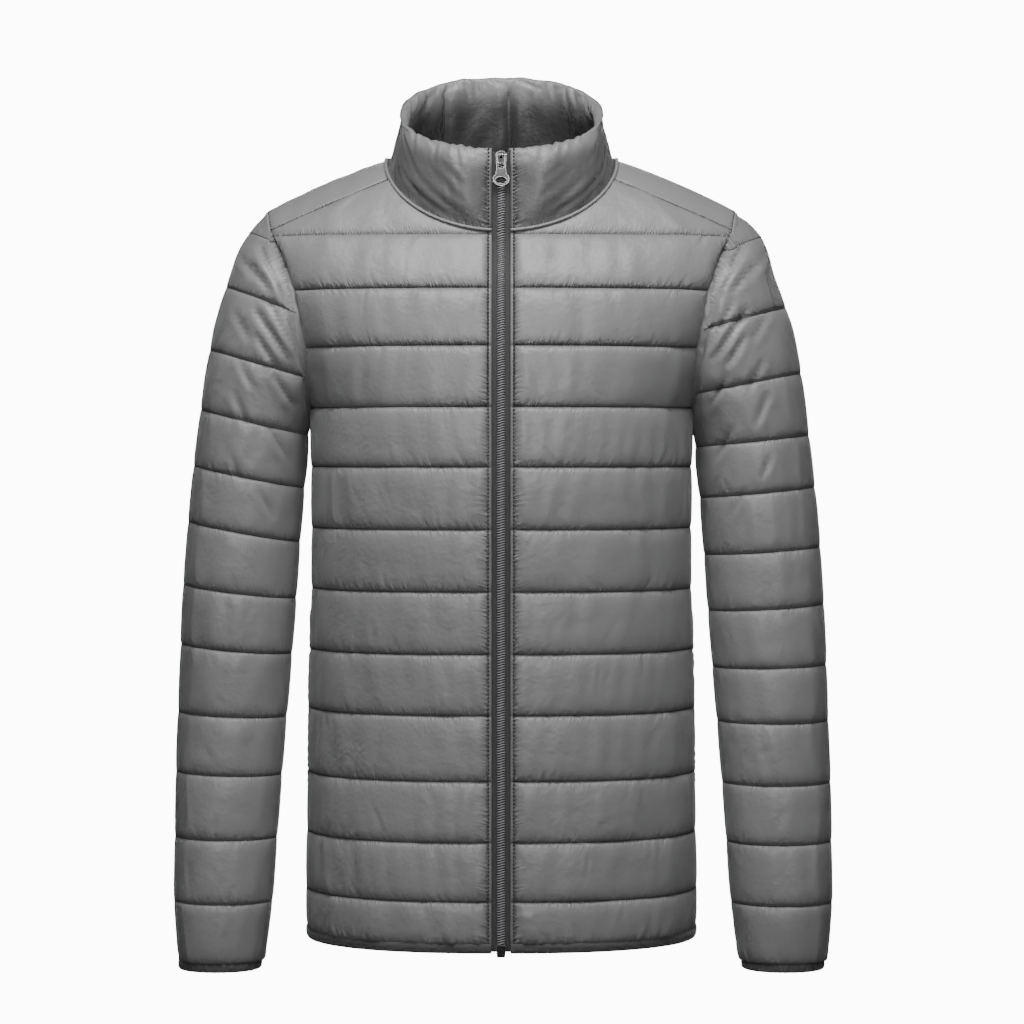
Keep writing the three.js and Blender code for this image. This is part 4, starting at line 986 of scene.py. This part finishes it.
front_underarm = int(np.argmin(np.abs(panel_rows(FRONT_ROWS)[0] - UNDERARM_Z)))
back_underarm = int(np.argmin(np.abs(panel_rows(BACK_ROWS)[0] - UNDERARM_Z)))
front_quilt = len(panel_rows(FRONT_ROWS)[0])
SLEEVE_ACROSS = 320
loop = np.concatenate([front[front_underarm:front_quilt, -1], back[back_underarm + 1 :, -1][::-1]])
loop_n = np.concatenate([front_n[front_underarm:front_quilt, -1], back_n[back_underarm + 1 :, -1][::-1]])
loop, loop_n = resampled(loop, SLEEVE_ACROSS, True, loop_n)

sleeve_outer, sleeve_inner = column(SLEEVE_SHAPE, "outer"), column(SLEEVE_SHAPE, "inner")
sleeve_depth, sleeve_forward = column(SLEEVE_SHAPE, "depth"), column(SLEEVE_SHAPE, "forward")


def armhole_go(p):
    middle, half = (ARMHOLE_TOP_Z + UNDERARM_Z) / 2, (ARMHOLE_TOP_Z - UNDERARM_Z) / 2
    deep = np.where(p[:, 1] < 0, ARMHOLE_DEPTH["front"], ARMHOLE_DEPTH["back"])
    c, s = (p[:, 2] - middle) / half, -p[:, 1] / deep
    size = np.hypot(c, s)
    return unit(np.stack([0.14 + 0.24 * (1 + c / size), -0.2 * s / size, -0.75 + 0 * c], -1))


def signed_power(v, power):
    return np.sign(v) * np.abs(v) ** power


def ring_point(ring, angle):
    z0, slope = ring
    across = signed_power(np.cos(angle), 2 / SLEEVE_POWER)
    along = signed_power(np.sin(angle), 2 / SLEEVE_POWER)
    inner_z = z0 - slope * (sleeve_outer(z0) - sleeve_inner(z0))
    share = (1 - across) / 2
    z = mix(z0, inner_z, share)
    x = mix(sleeve_outer(z0), sleeve_inner(inner_z), share)
    return np.stack([x, -sleeve_forward(z) - sleeve_depth(z) * along, z], -1)


def seams_down(p, rings):
    """How many quilt seams a point of the sleeve lies below the first one, with the fraction between two."""
    planes = [(ABOVE_CAP[0], ABOVE_CAP[1], ABOVE_CAP_X)] + [(z, m, sleeve_outer(z)) for z, m in rings]
    over = np.stack([p[:, 2] - z - m * (p[:, 0] - x) for z, m, x in planes])
    i = np.cumprod(over[1:-1] < 0, axis=0).sum(0)
    every = np.arange(len(p))
    return i - 1 + over[i, every] / (over[i, every] - over[i + 1, every])


SLEEVE_ROWS = 19
SLEEVE_STEPS = np.r_[0, 0.018, np.linspace(0.05, 0.95, SLEEVE_ROWS - 3), 0.982]
loop_go = armhole_go(loop)
loop_out, loop_across = seam_ways(
    loop, loop_n, loop_go, 1, True, np.array([0, 0, -0.25]) * smooth((-170 - loop[:, 2:]) / 50)
)


def sleeve_grid(rings):
    """The left sleeve's points without relief from the armhole down, and where rows start before their seam."""
    start = loop + loop_across * GAP / 2
    run = np.linspace(0, 1, SLEEVE_ACROSS, endpoint=False)
    angle = math.pi - 2 * math.pi * run
    join, below = ring_point(rings[FIRST_FULL_SEAM], angle), ring_point(rings[FIRST_FULL_SEAM + 1], angle)
    reach = np.linalg.norm(join - start, axis=1, keepdims=True)
    pull, push = loop_go * reach, unit(below - join) * reach

    def curve(t):
        t = t[:, None]
        here = start * (1 + 2 * t) * (1 - t) ** 2 + pull * t * (1 - t) ** 2
        return here + join * t * t * (3 - 2 * t) + push * t * t * (t - 1)

    first = seams_down(start, rings)
    downs, shares, baffles = [], [], []
    for k in range(-1, len(rings) - 1):
        for step in SLEEVE_STEPS:
            downs.append(k + step)
            shares.append(step)
            baffles.append(k)
    downs.append(len(rings) - 1)
    rows, clipped = [], []
    for down in downs:
        if down >= FIRST_FULL_SEAM:
            k = min(len(rings) - 2, int(math.floor(down)))
            rows.append(mix(ring_point(rings[k], angle), ring_point(rings[k + 1], angle), down - k))
        else:
            low, high = np.zeros(SLEEVE_ACROSS), np.ones(SLEEVE_ACROSS)
            for _ in range(26):
                middle = (low + high) / 2
                over = seams_down(curve(middle), rings) < down
                low, high = np.where(over, middle, low), np.where(over, high, middle)
            rows.append(curve((low + high) / 2))
        clipped.append(down <= first)
        rows[-1] = np.where(clipped[-1][:, None], start, rows[-1])
    clipped[0][:] = True
    rows[0] = start.copy()
    return np.array(rows), np.array(clipped), np.array(shares), np.array(baffles)


# How far the sleeve's outer and inner edges and its cap stand out evenly
SLEEVE_FILL = {"left": (3.4, 3.0, 6.5), "right": (0.3, 3.4, 2.6)}
# Folds on a sleeve's front from one (x, z) to another, with half width and depth
SLEEVE_FOLDS = [
    (214, -74, 188, -122, 3.0, 2.6),
    (222, -92, 200, -122, 2.8, 2.2),
    (202, -70, 186, -104, 2.6, 1.9),
    (230, -84, 214, -112, 3.0, 1.5),
    (216, -132, 186, -180, 3.1, 2.8),
    (203, -128, 178, -174, 2.8, 2.4),
    (214, -156, 197, -186, 2.8, 1.9),
    (192, -134, 176, -166, 2.6, 2.0),
    (234, -136, 216, -166, 3.0, 1.5),
    (229, -178, 216, -206, 3.0, 1.5),
    (200, -190, 184, -220, 2.9, 1.9),
    (234, -206, 222, -238, 3.0, 1.3),
    (206, -236, 190, -268, 3.0, 1.4),
    (216, -290, 203, -318, 2.8, 1.1),
    (236, -262, 228, -286, 2.8, 1.0),
]


def sleeve_relief(side, grid, clipped, shares, baffles, seed):
    s = run_along(grid, 1)
    down = run_along(grid, 0)
    top_d, low_d = np.zeros_like(s), np.zeros_like(s)
    for k in np.unique(baffles):
        rows = np.flatnonzero(baffles == k)
        top_d[rows] = down[rows] - down[rows[0]]
        low_d[rows] = down[rows[-1] + 1] - down[rows]
    q = slice(0, len(shares))
    height = np.zeros_like(s)
    height[q] = quilted(1 - shares, baffles, low_d[q], top_d[q], s[q], SLEEVE_LOFT, seed, 0.1, (14, 11))
    rise = edge_rise(down, 22)
    rng = np.random.default_rng(seed + 700)
    turn = 2 * math.pi * np.arange(SLEEVE_ACROSS) / SLEEVE_ACROSS
    edge_on = np.abs(np.cos(turn))[None] ** 3
    pinched = 1 - (1 - SIDE_LOFT) * edge_on
    k = np.r_[baffles, baffles[-1]][:, None]
    share = np.r_[shares, 1][:, None]
    line = mix(0.15, 1, smooth((k + share) / 0.45))
    height = height * rise * pinched * line + gathers(s, down, rng, 4.6, 9, 0.7)
    outer_side = np.cos(turn)[None] < 0
    cap = np.exp(-(((down - 34) / 24) ** 2)) * outer_side * edge_on
    outer_fill, inner_fill, cap_fill = SLEEVE_FILL[side]
    even = np.where(outer_side, outer_fill * smooth((down - 60) / 60), inner_fill * smooth(down / 60))
    height += cap_fill * cap + even * edge_on
    packed = 0.72 + 0.02 * waves(down, 0 * down, rng, 90, 1)
    height += 1.0 * np.exp(-(((turn[None] / math.pi - packed) / 0.035) ** 2)) * smooth((down - 90) / 60)
    folds = np.zeros_like(height)
    press_folds(folds, grid[:, :, 0], grid[:, :, 2], SLEEVE_FOLDS)
    in_front = np.sin(turn)[None] > 0.05
    height += folds * in_front
    last = slice(len(shares) - SLEEVE_ROWS, len(shares))
    cuff_rng = np.random.default_rng(seed + 800)
    height[last] += gathers(s[last], low_d[last], cuff_rng, *END_PUCKERS)
    # Painted shade along each stitch line of the sleeve
    painted_shade_and_highlight = np.clip(np.exp(-low_d / LINE_WIDTH) + np.exp(-top_d / LINE_WIDTH), 0, 1) * LINE_SHADE
    # Near the cap seam the painted shade is weaker, and a painted highlight runs right on the seam
    cap_line = np.exp(-np.abs(k + share) * 30)
    painted_shade_and_highlight = np.where(np.abs(k + share) < 0.3, mix(painted_shade_and_highlight * 0.2, -0.9, cap_line), painted_shade_and_highlight)
    # Painted shade over the cap, above its seam
    painted_shade_and_highlight = np.where(k + share < -0.03, 0.3, painted_shade_and_highlight)
    # Painted shade near the armhole seam
    painted_shade_and_highlight = np.maximum(painted_shade_and_highlight, 0.36 * np.exp(-down / 15))
    # Painted shade in the pressed folds on the sleeve's front
    painted_shade_and_highlight = np.maximum(painted_shade_and_highlight, 0.66 * np.clip(-folds / 1.5, 0, 1) * in_front)
    painted_shade_and_highlight[clipped] = 0
    marks = {"painted_shade_and_highlight": painted_shade_and_highlight, "along": s, "above": low_d, "below": top_d, "edge": down, "level": s}
    return height, marks


def sleeve_normals(grid, clipped):
    n = -grid_normals(grid, True)
    down = run_along(grid, 0)
    near = smooth(down / 24)[..., None]
    n = np.where(np.isfinite(n) & (np.linalg.norm(n, axis=-1, keepdims=True) > 0.5), n, loop_out)
    return unit(mix(loop_out[None], n, near))


for side, seed in (("left", 4), ("right", 5)):
    flip = np.array([1 if side == "left" else -1, 1, 1])
    grid, clipped, shares, baffles = sleeve_grid(SLEEVE_QUILT[side])
    normals = sleeve_normals(grid, clipped)
    height, marks = sleeve_relief(side, grid, clipped, shares, baffles, seed)
    rows, columns = grid.shape[:2]
    ids = np.arange(rows * columns).reshape(rows, columns)
    ids = np.where(clipped, ids[0][None], ids)
    outer = (grid + normals * np.maximum(height, DEEPEST)[..., None]) * flip
    inner = (grid - normals * WALL) * flip
    parts = [part + side for part in ("upper_sleeve_front_", "upper_sleeve_back_", "lower_sleeve_")]
    obj = wall("sleeve_" + side + "_cloth", outer, inner, True, SHELL, parts, ids, marks)
    declare_cut(outer, True)
    sewn = []
    for r in range(SLEEVE_ROWS, rows - 1, SLEEVE_ROWS):
        free = np.flatnonzero(~clipped[r])
        gap = np.flatnonzero(np.diff(free) > 1)
        order = free
        if len(gap):
            order = np.roll(free, -(gap[0] + 1))
        elif len(free) == columns:
            order = np.r_[free, free[:1]]
        sewn.append((outer[r, order], normals[r, order] * flip, *QUILT_STITCH))
    stitches("sleeve_" + side + "_sewing", sewn)

# Collar
def strip_piece(name, grid, closed, material, nodes=()):
    """A closed body from a row of closed sections: grid[station, place round the section]."""
    stations, places = grid.shape[:2]
    ids = np.arange(stations * places).reshape(stations, places)
    ring = np.concatenate([ids, ids[:1]]) if closed else ids
    faces = grid_faces(ring, True)
    if not closed:
        for row, flip in ((ids[0], False), (ids[-1], True)):
            k = np.arange((places - 1) // 2)
            cap = np.stack([row[k], row[places - 1 - k], row[places - 2 - k], row[k + 1]], -1)
            faces += [f[::-1] if flip else f for f in tidy_faces(cap)]
    return piece(name, grid.reshape(-1, 3), faces, material, nodes)


COLLAR_STATIONS, COLLAR_PLACES = 300, 64
corner = int(np.argmin(np.abs(front_u - FRONT_COLUMNS[FRONT_CORNER])))
back_corner = int(np.argmin(np.abs(back_u - BACK_COLUMNS["across"][BACK_CORNER])))
middle = len(back_u) - 1
behind = slice(middle - back_corner + 1, middle + back_corner)
neck = [mirrored(front[-1, : corner + 1]), back[-1, behind], front[-1, : corner + 1][::-1]]
neck_n = [mirrored(front_n[-1, : corner + 1]), back_n[-1, behind], front_n[-1, : corner + 1][::-1]]
neck, neck_n = resampled(np.concatenate(neck), COLLAR_STATIONS, False, np.concatenate(neck_n))
neck_run = np.linspace(0, 1, COLLAR_STATIONS)
rim_edge = math.asin(ZIP_HALF / RIM["half"])
rim_angle = mix(-rim_edge, -2 * math.pi + rim_edge, neck_run)
rim_power = np.where(np.cos(rim_angle) < 0, 0.86, 1)
rim = np.stack(
    [
        RIM["half"] * np.sign(np.sin(rim_angle)) * np.abs(np.sin(rim_angle)) ** rim_power,
        (RIM["front"] + RIM["back"]) / 2 - (RIM["back"] - RIM["front"]) / 2 * np.cos(rim_angle),
        mix(RIM["front_z"], RIM["back_z"], (1 - np.cos(rim_angle)) / 2),
    ],
    -1,
)
neck_go = unit(rim - neck)
neck_out, neck_across = seam_ways(neck, unit(neck_n), neck_go, -1, False)


def spline(values, count):
    """Points along a smooth curve through the values, evenly spaced by number."""
    at = np.linspace(0, len(values) - 1, count)
    i = np.clip(at.astype(int), 0, len(values) - 2)
    t = at - i
    slope = np.gradient(values)
    bend = t * t * (3 - 2 * t)
    return mix(values[i], values[i + 1], bend) + slope[i] * t * (1 - t) ** 2 - slope[i + 1] * t * t * (1 - t)


def collar_grid():
    up = spline(COLLAR_SECTION["up"], COLLAR_PLACES)
    out = spline(COLLAR_SECTION["out"], COLLAR_PLACES)
    foot = neck + neck_across * GAP / 2
    side = np.cross(unit(np.gradient(neck, axis=0)), neck_go)
    side = unit(side * np.where((side * neck_out).sum(-1, keepdims=True) < 0, -1, 1))
    length = np.linalg.norm(np.diff(neck, axis=0), axis=1).sum()
    puff = smooth(np.minimum(neck_run, 1 - neck_run) * length / 30)[:, None]
    flat = np.where(out > 0, 0, np.maximum(out, -WALL))
    at_side = (np.abs(rim_angle + math.pi) / (math.pi / 2))[:, None]
    at_side = np.exp(-(((at_side - 1) / 0.42) ** 2))
    outside = np.where(out > 0, out * (1 - 0.75 * at_side), out)
    high = np.clip(up, 0, 1)
    bow = -10.0 * at_side * high**0.55 * (1 - high) ** 0.5
    lift = mix(flat[None], outside, puff) + bow
    grid = foot[:, None] + (rim - foot)[:, None] * up[None, :, None] + side[:, None] * lift[..., None]
    grid[:, -1] = foot - neck_out * WALL
    return grid


# Folds from one place to another: share of the length and height over the seam, with half width and depth
COLLAR_FOLDS = [
    (0.05, 12, 0.15, 34, 2.1, 1.2),
    (0.04, 22, 0.11, 44, 1.8, 1.0),
    (0.07, 7, 0.18, 22, 2.0, 1.1),
    (0.16, 12, 0.26, 34, 2.4, 0.9),
    (0.03, 34, 0.09, 52, 1.8, 0.9),
    (0.12, 30, 0.2, 52, 2.0, 0.8),
    (0.22, 30, 0.3, 55, 2.4, 0.7),
]
# Seams of the collar's inside: place from left to right, and depth
LINING_SEAMS = [(-51, 3.0), (7, 3.2), (81, 3.0)]


def collar_relief(grid):
    s = run_along(grid, 0)
    w = run_along(grid, 1)
    length = s[-1].mean()
    s = s / s[-1:] * length
    over = np.argmax(grid[COLLAR_STATIONS // 2, :, 2])
    rim_w = w[:, over : over + 1]
    outside = np.arange(COLLAR_PLACES)[None] <= over
    from_zip = np.minimum(s, length - s)
    rng = np.random.default_rng(61)
    height = 0.8 * waves(s.T, w.T, rng, 46, 1.2).T * edge_rise(w, 25)
    over_rim = []
    for place in np.arange(16, length - 12, 8.5):
        place, lean = place + rng.uniform(-3, 3), rng.normal(0, 4)
        low, high = rng.uniform(6, 24), rng.uniform(8, 28)
        if abs(place / length - 0.5) < 0.34:
            low = -3.5
        over_rim.append((place - lean, -low, place + lean, high, rng.uniform(1.7, 2.9), rng.uniform(0.6, 1.5)))
    press_folds(height, s, w - rim_w, over_rim)
    height += gathers(s.T, w.T, rng, 6, 11, 0.7, 1.4).T * outside
    folds = [(a * length, w0, b * length, w1, wide, deep) for a, w0, b, w1, wide, deep in COLLAR_FOLDS]
    folds += [(length - a, w0 + 2, length - b, w1 - 3, wide, 0.9 * deep) for a, w0, b, w1, wide, deep in folds]
    press_folds(height, s, w, folds)
    press_folds(height, s, w, loose_folds(rng, s, w * outside, 30, 26, 0.6))
    past = from_zip - ZIP_STITCH
    height *= edge_rise(past, 12)
    pucker = gathers(w, np.maximum(past, 0), rng, 4.4, 13, 0.9, 1.2) * (past > 0)
    height += pucker * np.clip((rim_w + 14 - w) / 10, 0, 1)
    lip = 1.2 * np.exp(-(((from_zip - 0.95) / 0.8) ** 2)) * outside
    height = np.where(past < 0, lip, height)
    inside = smooth((w - rim_w - 6) / 14) * (np.arange(COLLAR_PLACES)[None] > over) * smooth((from_zip - 70) / 20)
    for x, deep in LINING_SEAMS:
        off = np.abs(grid[:, :, 0] - x)
        height += inside * (-deep * np.exp(-off / 1.6) + 1.2 * np.exp(-(((off - 9) / 6) ** 2)))
    in_front = smooth(1 - from_zip / (0.25 * length))
    height += 2.2 * outside * in_front * smooth(from_zip / 40) * np.exp(-(((w / rim_w - 0.68) / 0.25) ** 2))
    # Painted shade along the edge stitch line by the zip
    stitch = np.exp(-((past / 1.0) ** 2)) * 0.95 * outside
    down_from_rim = np.abs(w - rim_w)
    # Painted shade that grows away from the rim: on the outside to a mid darkness, on the inside to near black
    # deep down; the rim gets the least, so it stays a lighter band
    shade = mix(0.2, np.where(outside, 0.8, 0.985), smooth(down_from_rim / np.where(outside, 22, 36)))
    for x, _ in LINING_SEAMS:
        # Painted shade along the lining seams inside
        shade = np.maximum(shade, 0.97 * inside * np.exp(-((grid[:, :, 0] - x) / 2.2) ** 2))
    # Painted shade at the collar's foot, where it meets the neck seam
    painted_shade_and_highlight = np.maximum(np.maximum(stitch, np.exp(-w / 0.8) * 0.9), shade)
    marks = {"painted_shade_and_highlight": painted_shade_and_highlight, "along": s, "above": w, "below": np.abs(rim_w - w), "level": w}
    marks["edge"] = np.where(past < 0, 99, past)
    return height, marks


collar = collar_grid()
collar_n = grid_normals(collar)
collar_n *= np.sign((collar_n[:, 12] * neck_out).sum(-1).mean())
collar_h, collar_marks = collar_relief(collar)
obj = strip_piece("collar_cloth", collar + collar_n * collar_h[..., None], False, SHELL, ["collar"])
for mark, values in collar_marks.items():
    paint(obj, mark, values)
declare_cut(collar, True, 2)
collar_run = run_along(collar, 0)
zip_places = slice(1, int(np.argmax(collar[0, :, 2])))
shown = (collar + collar_n * collar_h[..., None]).transpose(1, 0, 2)[zip_places]
ways, runs = collar_n.transpose(1, 0, 2)[zip_places], collar_run.T[zip_places]
left_edge = line_at(shown[:, ::-1], ways[:, ::-1], (runs[:, -1:] - runs)[:, ::-1], ZIP_STITCH)
stitches("collar_sewing", [(*line_at(shown, ways, runs, ZIP_STITCH), *EDGE_STITCH), (*left_edge, *EDGE_STITCH)])

# Piping in the neck seam
PIPING = {"radius": 1.5, "clear": 0.2, "sides": 10}
dot = np.clip((neck_go * neck_out).sum(-1), 0, 0.8)
lift = (PIPING["radius"] + PIPING["clear"]) / np.sin(np.arccos(dot))
turns = np.linspace(0, 2 * math.pi, PIPING["sides"], endpoint=False)
swell = 1 + 0.08 * waves(neck_run[None] * 560, np.zeros((1, COLLAR_STATIONS)), np.random.default_rng(7), 9, 1)[0]
around = PIPING["radius"] * swell[:, None, None]
piping = (neck + neck_out * lift[:, None])[:, None] + around * (
    neck_across[:, None] * np.cos(turns)[None, :, None] + neck_out[:, None] * np.sin(turns)[None, :, None]
)
obj = strip_piece("neck_piping_cloth", piping, False, SHELL, ["neck_piping"])
# Painted shade on the piping's sides, where it tucks into the seam
paint(obj, "painted_shade_and_highlight", np.repeat(0.1 + 0.5 * (np.abs(np.cos(turns)) ** 3)[None], COLLAR_STATIONS, 0))
for mark in ("above", "below", "edge"):
    paint(obj, mark, np.full(piping.shape[:2], 99))

# Bindings of the hem and the cuffs
BINDING_SECTION = table(
    "out down",
    [
        (0.4, -0.2),
        (1.2, -0.12),
        (1.7, 0.25),
        (1.6, 0.6),
        (1.3, 0.88),
        (0.4, 1),
        (-2, 1.02),
        (-3, 0.8),
        (-3.4, 0.3),
        (-2.9, -0.2),
    ],
)


def binding(name, loop, closed, count, seed, nodes):
    (line,) = resampled(loop, count, closed)
    along = np.roll(line, -1, 0) - np.roll(line, 1, 0) if closed else np.gradient(line, axis=0)
    out = unit(np.stack([along[:, 1], -along[:, 0], 0 * along[:, 0]], -1))
    rng = np.random.default_rng(seed)
    run = run_along(line[None], 1)
    pleat = 0.45 * waves(run, 0 * run, rng, 4.6, 1)[0] + 0.35 * waves(run, 0 * run, rng, 30, 1)[0]
    shape = BINDING_SECTION["out"][None] + pleat[:, None] * np.where(BINDING_SECTION["out"] > -1, 1, 0.4)[None]
    down = -GAP / 2 - BINDING_SECTION["down"] * BINDING_HEIGHT
    grid = line[:, None] + out[:, None] * shape[..., None]
    grid[..., 2] += down
    obj = strip_piece(name, grid, closed, BINDING, nodes)
    declare_cut(grid, True, 2)


hem = np.concatenate([mirrored(front[0]), back[0, 1:-1], front[0][::-1]])
binding("hem_binding_knit", hem, False, 760, 71, ["hem_binding"])
for side, seed in (("left", 72), ("right", 73)):
    ring = ring_point(SLEEVE_QUILT["left"][-1], -np.linspace(0, 2 * math.pi, 120, endpoint=False))
    ring = ring - np.array([0, 0, GAP / 2])
    if side == "right":
        ring = mirrored(ring)[::-1]
    binding("cuff_binding_knit_" + side, ring, True, 220, seed, ["cuff_binding_" + side])

# Zip: tape and coil along its middle line
ZIP_BOTTOM = HEM_Z - BINDING_HEIGHT
zip_z = np.linspace(ZIP_BOTTOM, FIRST_QUILT_Z, 120)
low_line = np.stack([0 * zip_z, -depth_of["front"](zip_z), zip_z], -1)
neck_foot = np.array([0, -depth_of["front"](-NECK_DROP), -NECK_DROP])
neck_top = np.array([0, RIM["front"], RIM["front_z"]])
high_line = mix(neck_foot, neck_top, np.linspace(0.02, 1, 16)[:, None])
zip_line = np.concatenate([low_line, high_line])
(zip_line,) = resampled(zip_line, 240, False)
zip_way = unit(np.gradient(zip_line, axis=0))
zip_out = np.stack([0 * zip_way[:, 0], -zip_way[:, 2], zip_way[:, 1]], -1)
tape_depth = WALL + GAP + mix(0.15, 1.8, smooth((zip_line[:, 2] + 115) / 50))


def on_zip(along, x, over):
    """A place on the zip by its distance up from the bottom, out from the middle and over the tape."""
    run = np.r_[0, np.cumsum(np.linalg.norm(np.diff(zip_line, axis=0), axis=1))]
    put = [np.interp(along, run, v) for v in zip_line.T]
    out = [np.interp(along, run, v) for v in zip_out.T]
    deep = np.interp(along, run, tape_depth)
    return np.stack([put[k] + out[k] * (over - deep) for k in range(3)], -1) + np.stack([x, 0 * x, 0 * x], -1)


ZIP_LENGTH = float(np.linalg.norm(np.diff(zip_line, axis=0), axis=1).sum())
tape_x = np.linspace(0.1, 12.6, 31)
rib = 0.13 * np.abs(np.sin(math.pi * (tape_x - 0.6) / 1.2)) * (tape_x > 4.6)
for side, flip, lap in (("left", 1, -0.3), ("right", -1, 0.5)):
    under_x = np.r_[tape_x[::-1][:-1:6], lap]
    x = flip * np.r_[tape_x, under_x]
    over = np.r_[rib, -1 + 0 * under_x]
    at = np.linspace(0, ZIP_LENGTH, 240)
    every_at, every_x, every_over = np.broadcast_arrays(at[:, None], x[None], over[None])
    grid = on_zip(every_at, every_x, every_over)
    obj = strip_piece("zip_tape_woven_" + side, grid, False, TAPE, ["zip_tape_" + side])
    declare_cut(grid, True, 2)

COIL_PITCH = 2.2
COIL = table(
    "x over across up",
    [
        (3.5, 0.1, 0.15, 0.2),
        (3.2, 1.0, 0.4, 0.5),
        (2.2, 1.5, 0.44, 0.55),
        (1.0, 1.8, 0.5, 0.6),
        (0.3, 1.9, 0.55, 0.6),
        (-0.3, 1.7, 0.3, 0.3),
    ],
)


for side, flip in (("left", 1), ("right", -1)):
    at = np.arange(2 + (0 if flip > 0 else COIL_PITCH / 2), ZIP_LENGTH - 9, COIL_PITCH)
    turn = np.linspace(0, 2 * math.pi, 6, endpoint=False)
    x = flip * np.repeat(COIL["x"][:, None], 6, 1)
    rise = 0.5 * (COIL["x"][:, None] - 2) * 0.3 * flip + COIL["across"][:, None] * np.cos(turn)
    over = COIL["over"][:, None] + COIL["up"][:, None] * np.sin(turn)
    every_at, every_x, every_over = np.broadcast_arrays(at[:, None, None] + rise[None], x[None], over[None])
    pts = on_zip(every_at, every_x, every_over)
    faces = many(len(at), 36, tube_faces(6, 6))
    piece("zip_coil_" + side, pts.reshape(-1, 3), faces, TEETH, ["zip_teeth_" + side])


# Slider, pull tab and end box: rounded edges and metal
def dress(name, material, width):
    obj = bpy.data.objects[name]
    obj.data.materials.clear()
    obj.data.materials.append(material)
    bevel = obj.modifiers.new("rounded_edges", "BEVEL")
    bevel.width = width / 1000
    bevel.segments = 3
    bevel.limit_method = "ANGLE"
    bevel.angle_limit = math.radians(40)
    bevel.harden_normals = True


dress("zip_slider", DARK_METAL, 0.25)
dress("zip_pull_tab", METAL, 0.3)
dress("zip_box", DARK_METAL, 0.4)

# Camera, lights and floor
SCALE_DISTANCE = 3.072
camera = bpy.data.objects.new("camera", bpy.data.cameras.new("camera"))
bpy.context.collection.objects.link(camera)
camera.data.lens = 120
camera.data.sensor_width = 36
camera.location = (0.0095, -SCALE_DISTANCE, -0.2583)
camera.rotation_euler = (math.radians(90 - 1.04), 0, 0)
bpy.context.scene.camera = camera


def area_light(name, place, aim, size, power):
    light = bpy.data.lights.new(name, "AREA")
    light.shape = "RECTANGLE"
    light.size, light.size_y = size
    light.energy = power
    obj = bpy.data.objects.new(name, light)
    bpy.context.collection.objects.link(obj)
    obj.location = place
    way = np.array(aim) - np.array(place)
    flat = math.hypot(way[0], way[1])
    obj.rotation_euler = (math.atan2(flat, -way[2]), 0, math.atan2(-way[0], way[1]))


area_light("top_softbox", (0, -0.9, 1.2), (0, -0.05, -0.25), (1.0, 0.6), 40)
area_light("front_fill", (0, -3.0, 0.45), (0, 0, -0.4), (0.6, 0.6), 34)
area_light("back_fill", (0, 3.0, 0.9), (0, 0, -0.35), (0.9, 0.9), 20)
world = bpy.data.worlds.new("studio")
bpy.context.scene.world = world
world.use_nodes = True
world.node_tree.nodes["Background"].inputs["Color"].default_value = (1, 1, 1, 1)
world.node_tree.nodes["Background"].inputs["Strength"].default_value = 0.05


def studio():
    """A pale round floor that sweeps up into a wall and a dome, so that it is the same from every side."""
    sweep = [(STUDIO + math.sin(a), FLOOR_Z + 1 - math.cos(a)) for a in np.linspace(0, math.pi / 2, 12)]
    dome = [((STUDIO + 1) * math.cos(a), (STUDIO + 1) * math.sin(a)) for a in np.linspace(0.1, math.pi / 2, 12)]
    profile = [(0.0, FLOOR_Z), *sweep, *dome]
    turns = np.linspace(0, 2 * math.pi, 96, endpoint=False)
    verts = [(r * math.cos(t), r * math.sin(t), z) for r, z in profile for t in turns]
    faces = grid_faces(np.arange(len(verts)).reshape(len(profile), len(turns)), True)
    mesh = bpy.data.meshes.new("floor")
    mesh.from_pydata(verts, [], faces)
    mesh.polygons.foreach_set("use_smooth", [True] * len(mesh.polygons))
    obj = bpy.data.objects.new("floor", mesh)
    bpy.context.collection.objects.link(obj)
    mat, _, _, shader = new_material("pale_floor")
    shader.inputs["Base Color"].default_value = (0.93, 0.93, 0.93, 1)
    shader.inputs["Roughness"].default_value = 0.9
    shader.inputs["Emission Color"].default_value = (1, 1, 1, 1)
    shader.inputs["Emission Strength"].default_value = 12
    mesh.materials.append(mat)
    obj.visible_diffuse = False
    obj.visible_glossy = False
    obj.visible_shadow = False


FLOOR_Z, STUDIO = -1.25, 8.0
studio()
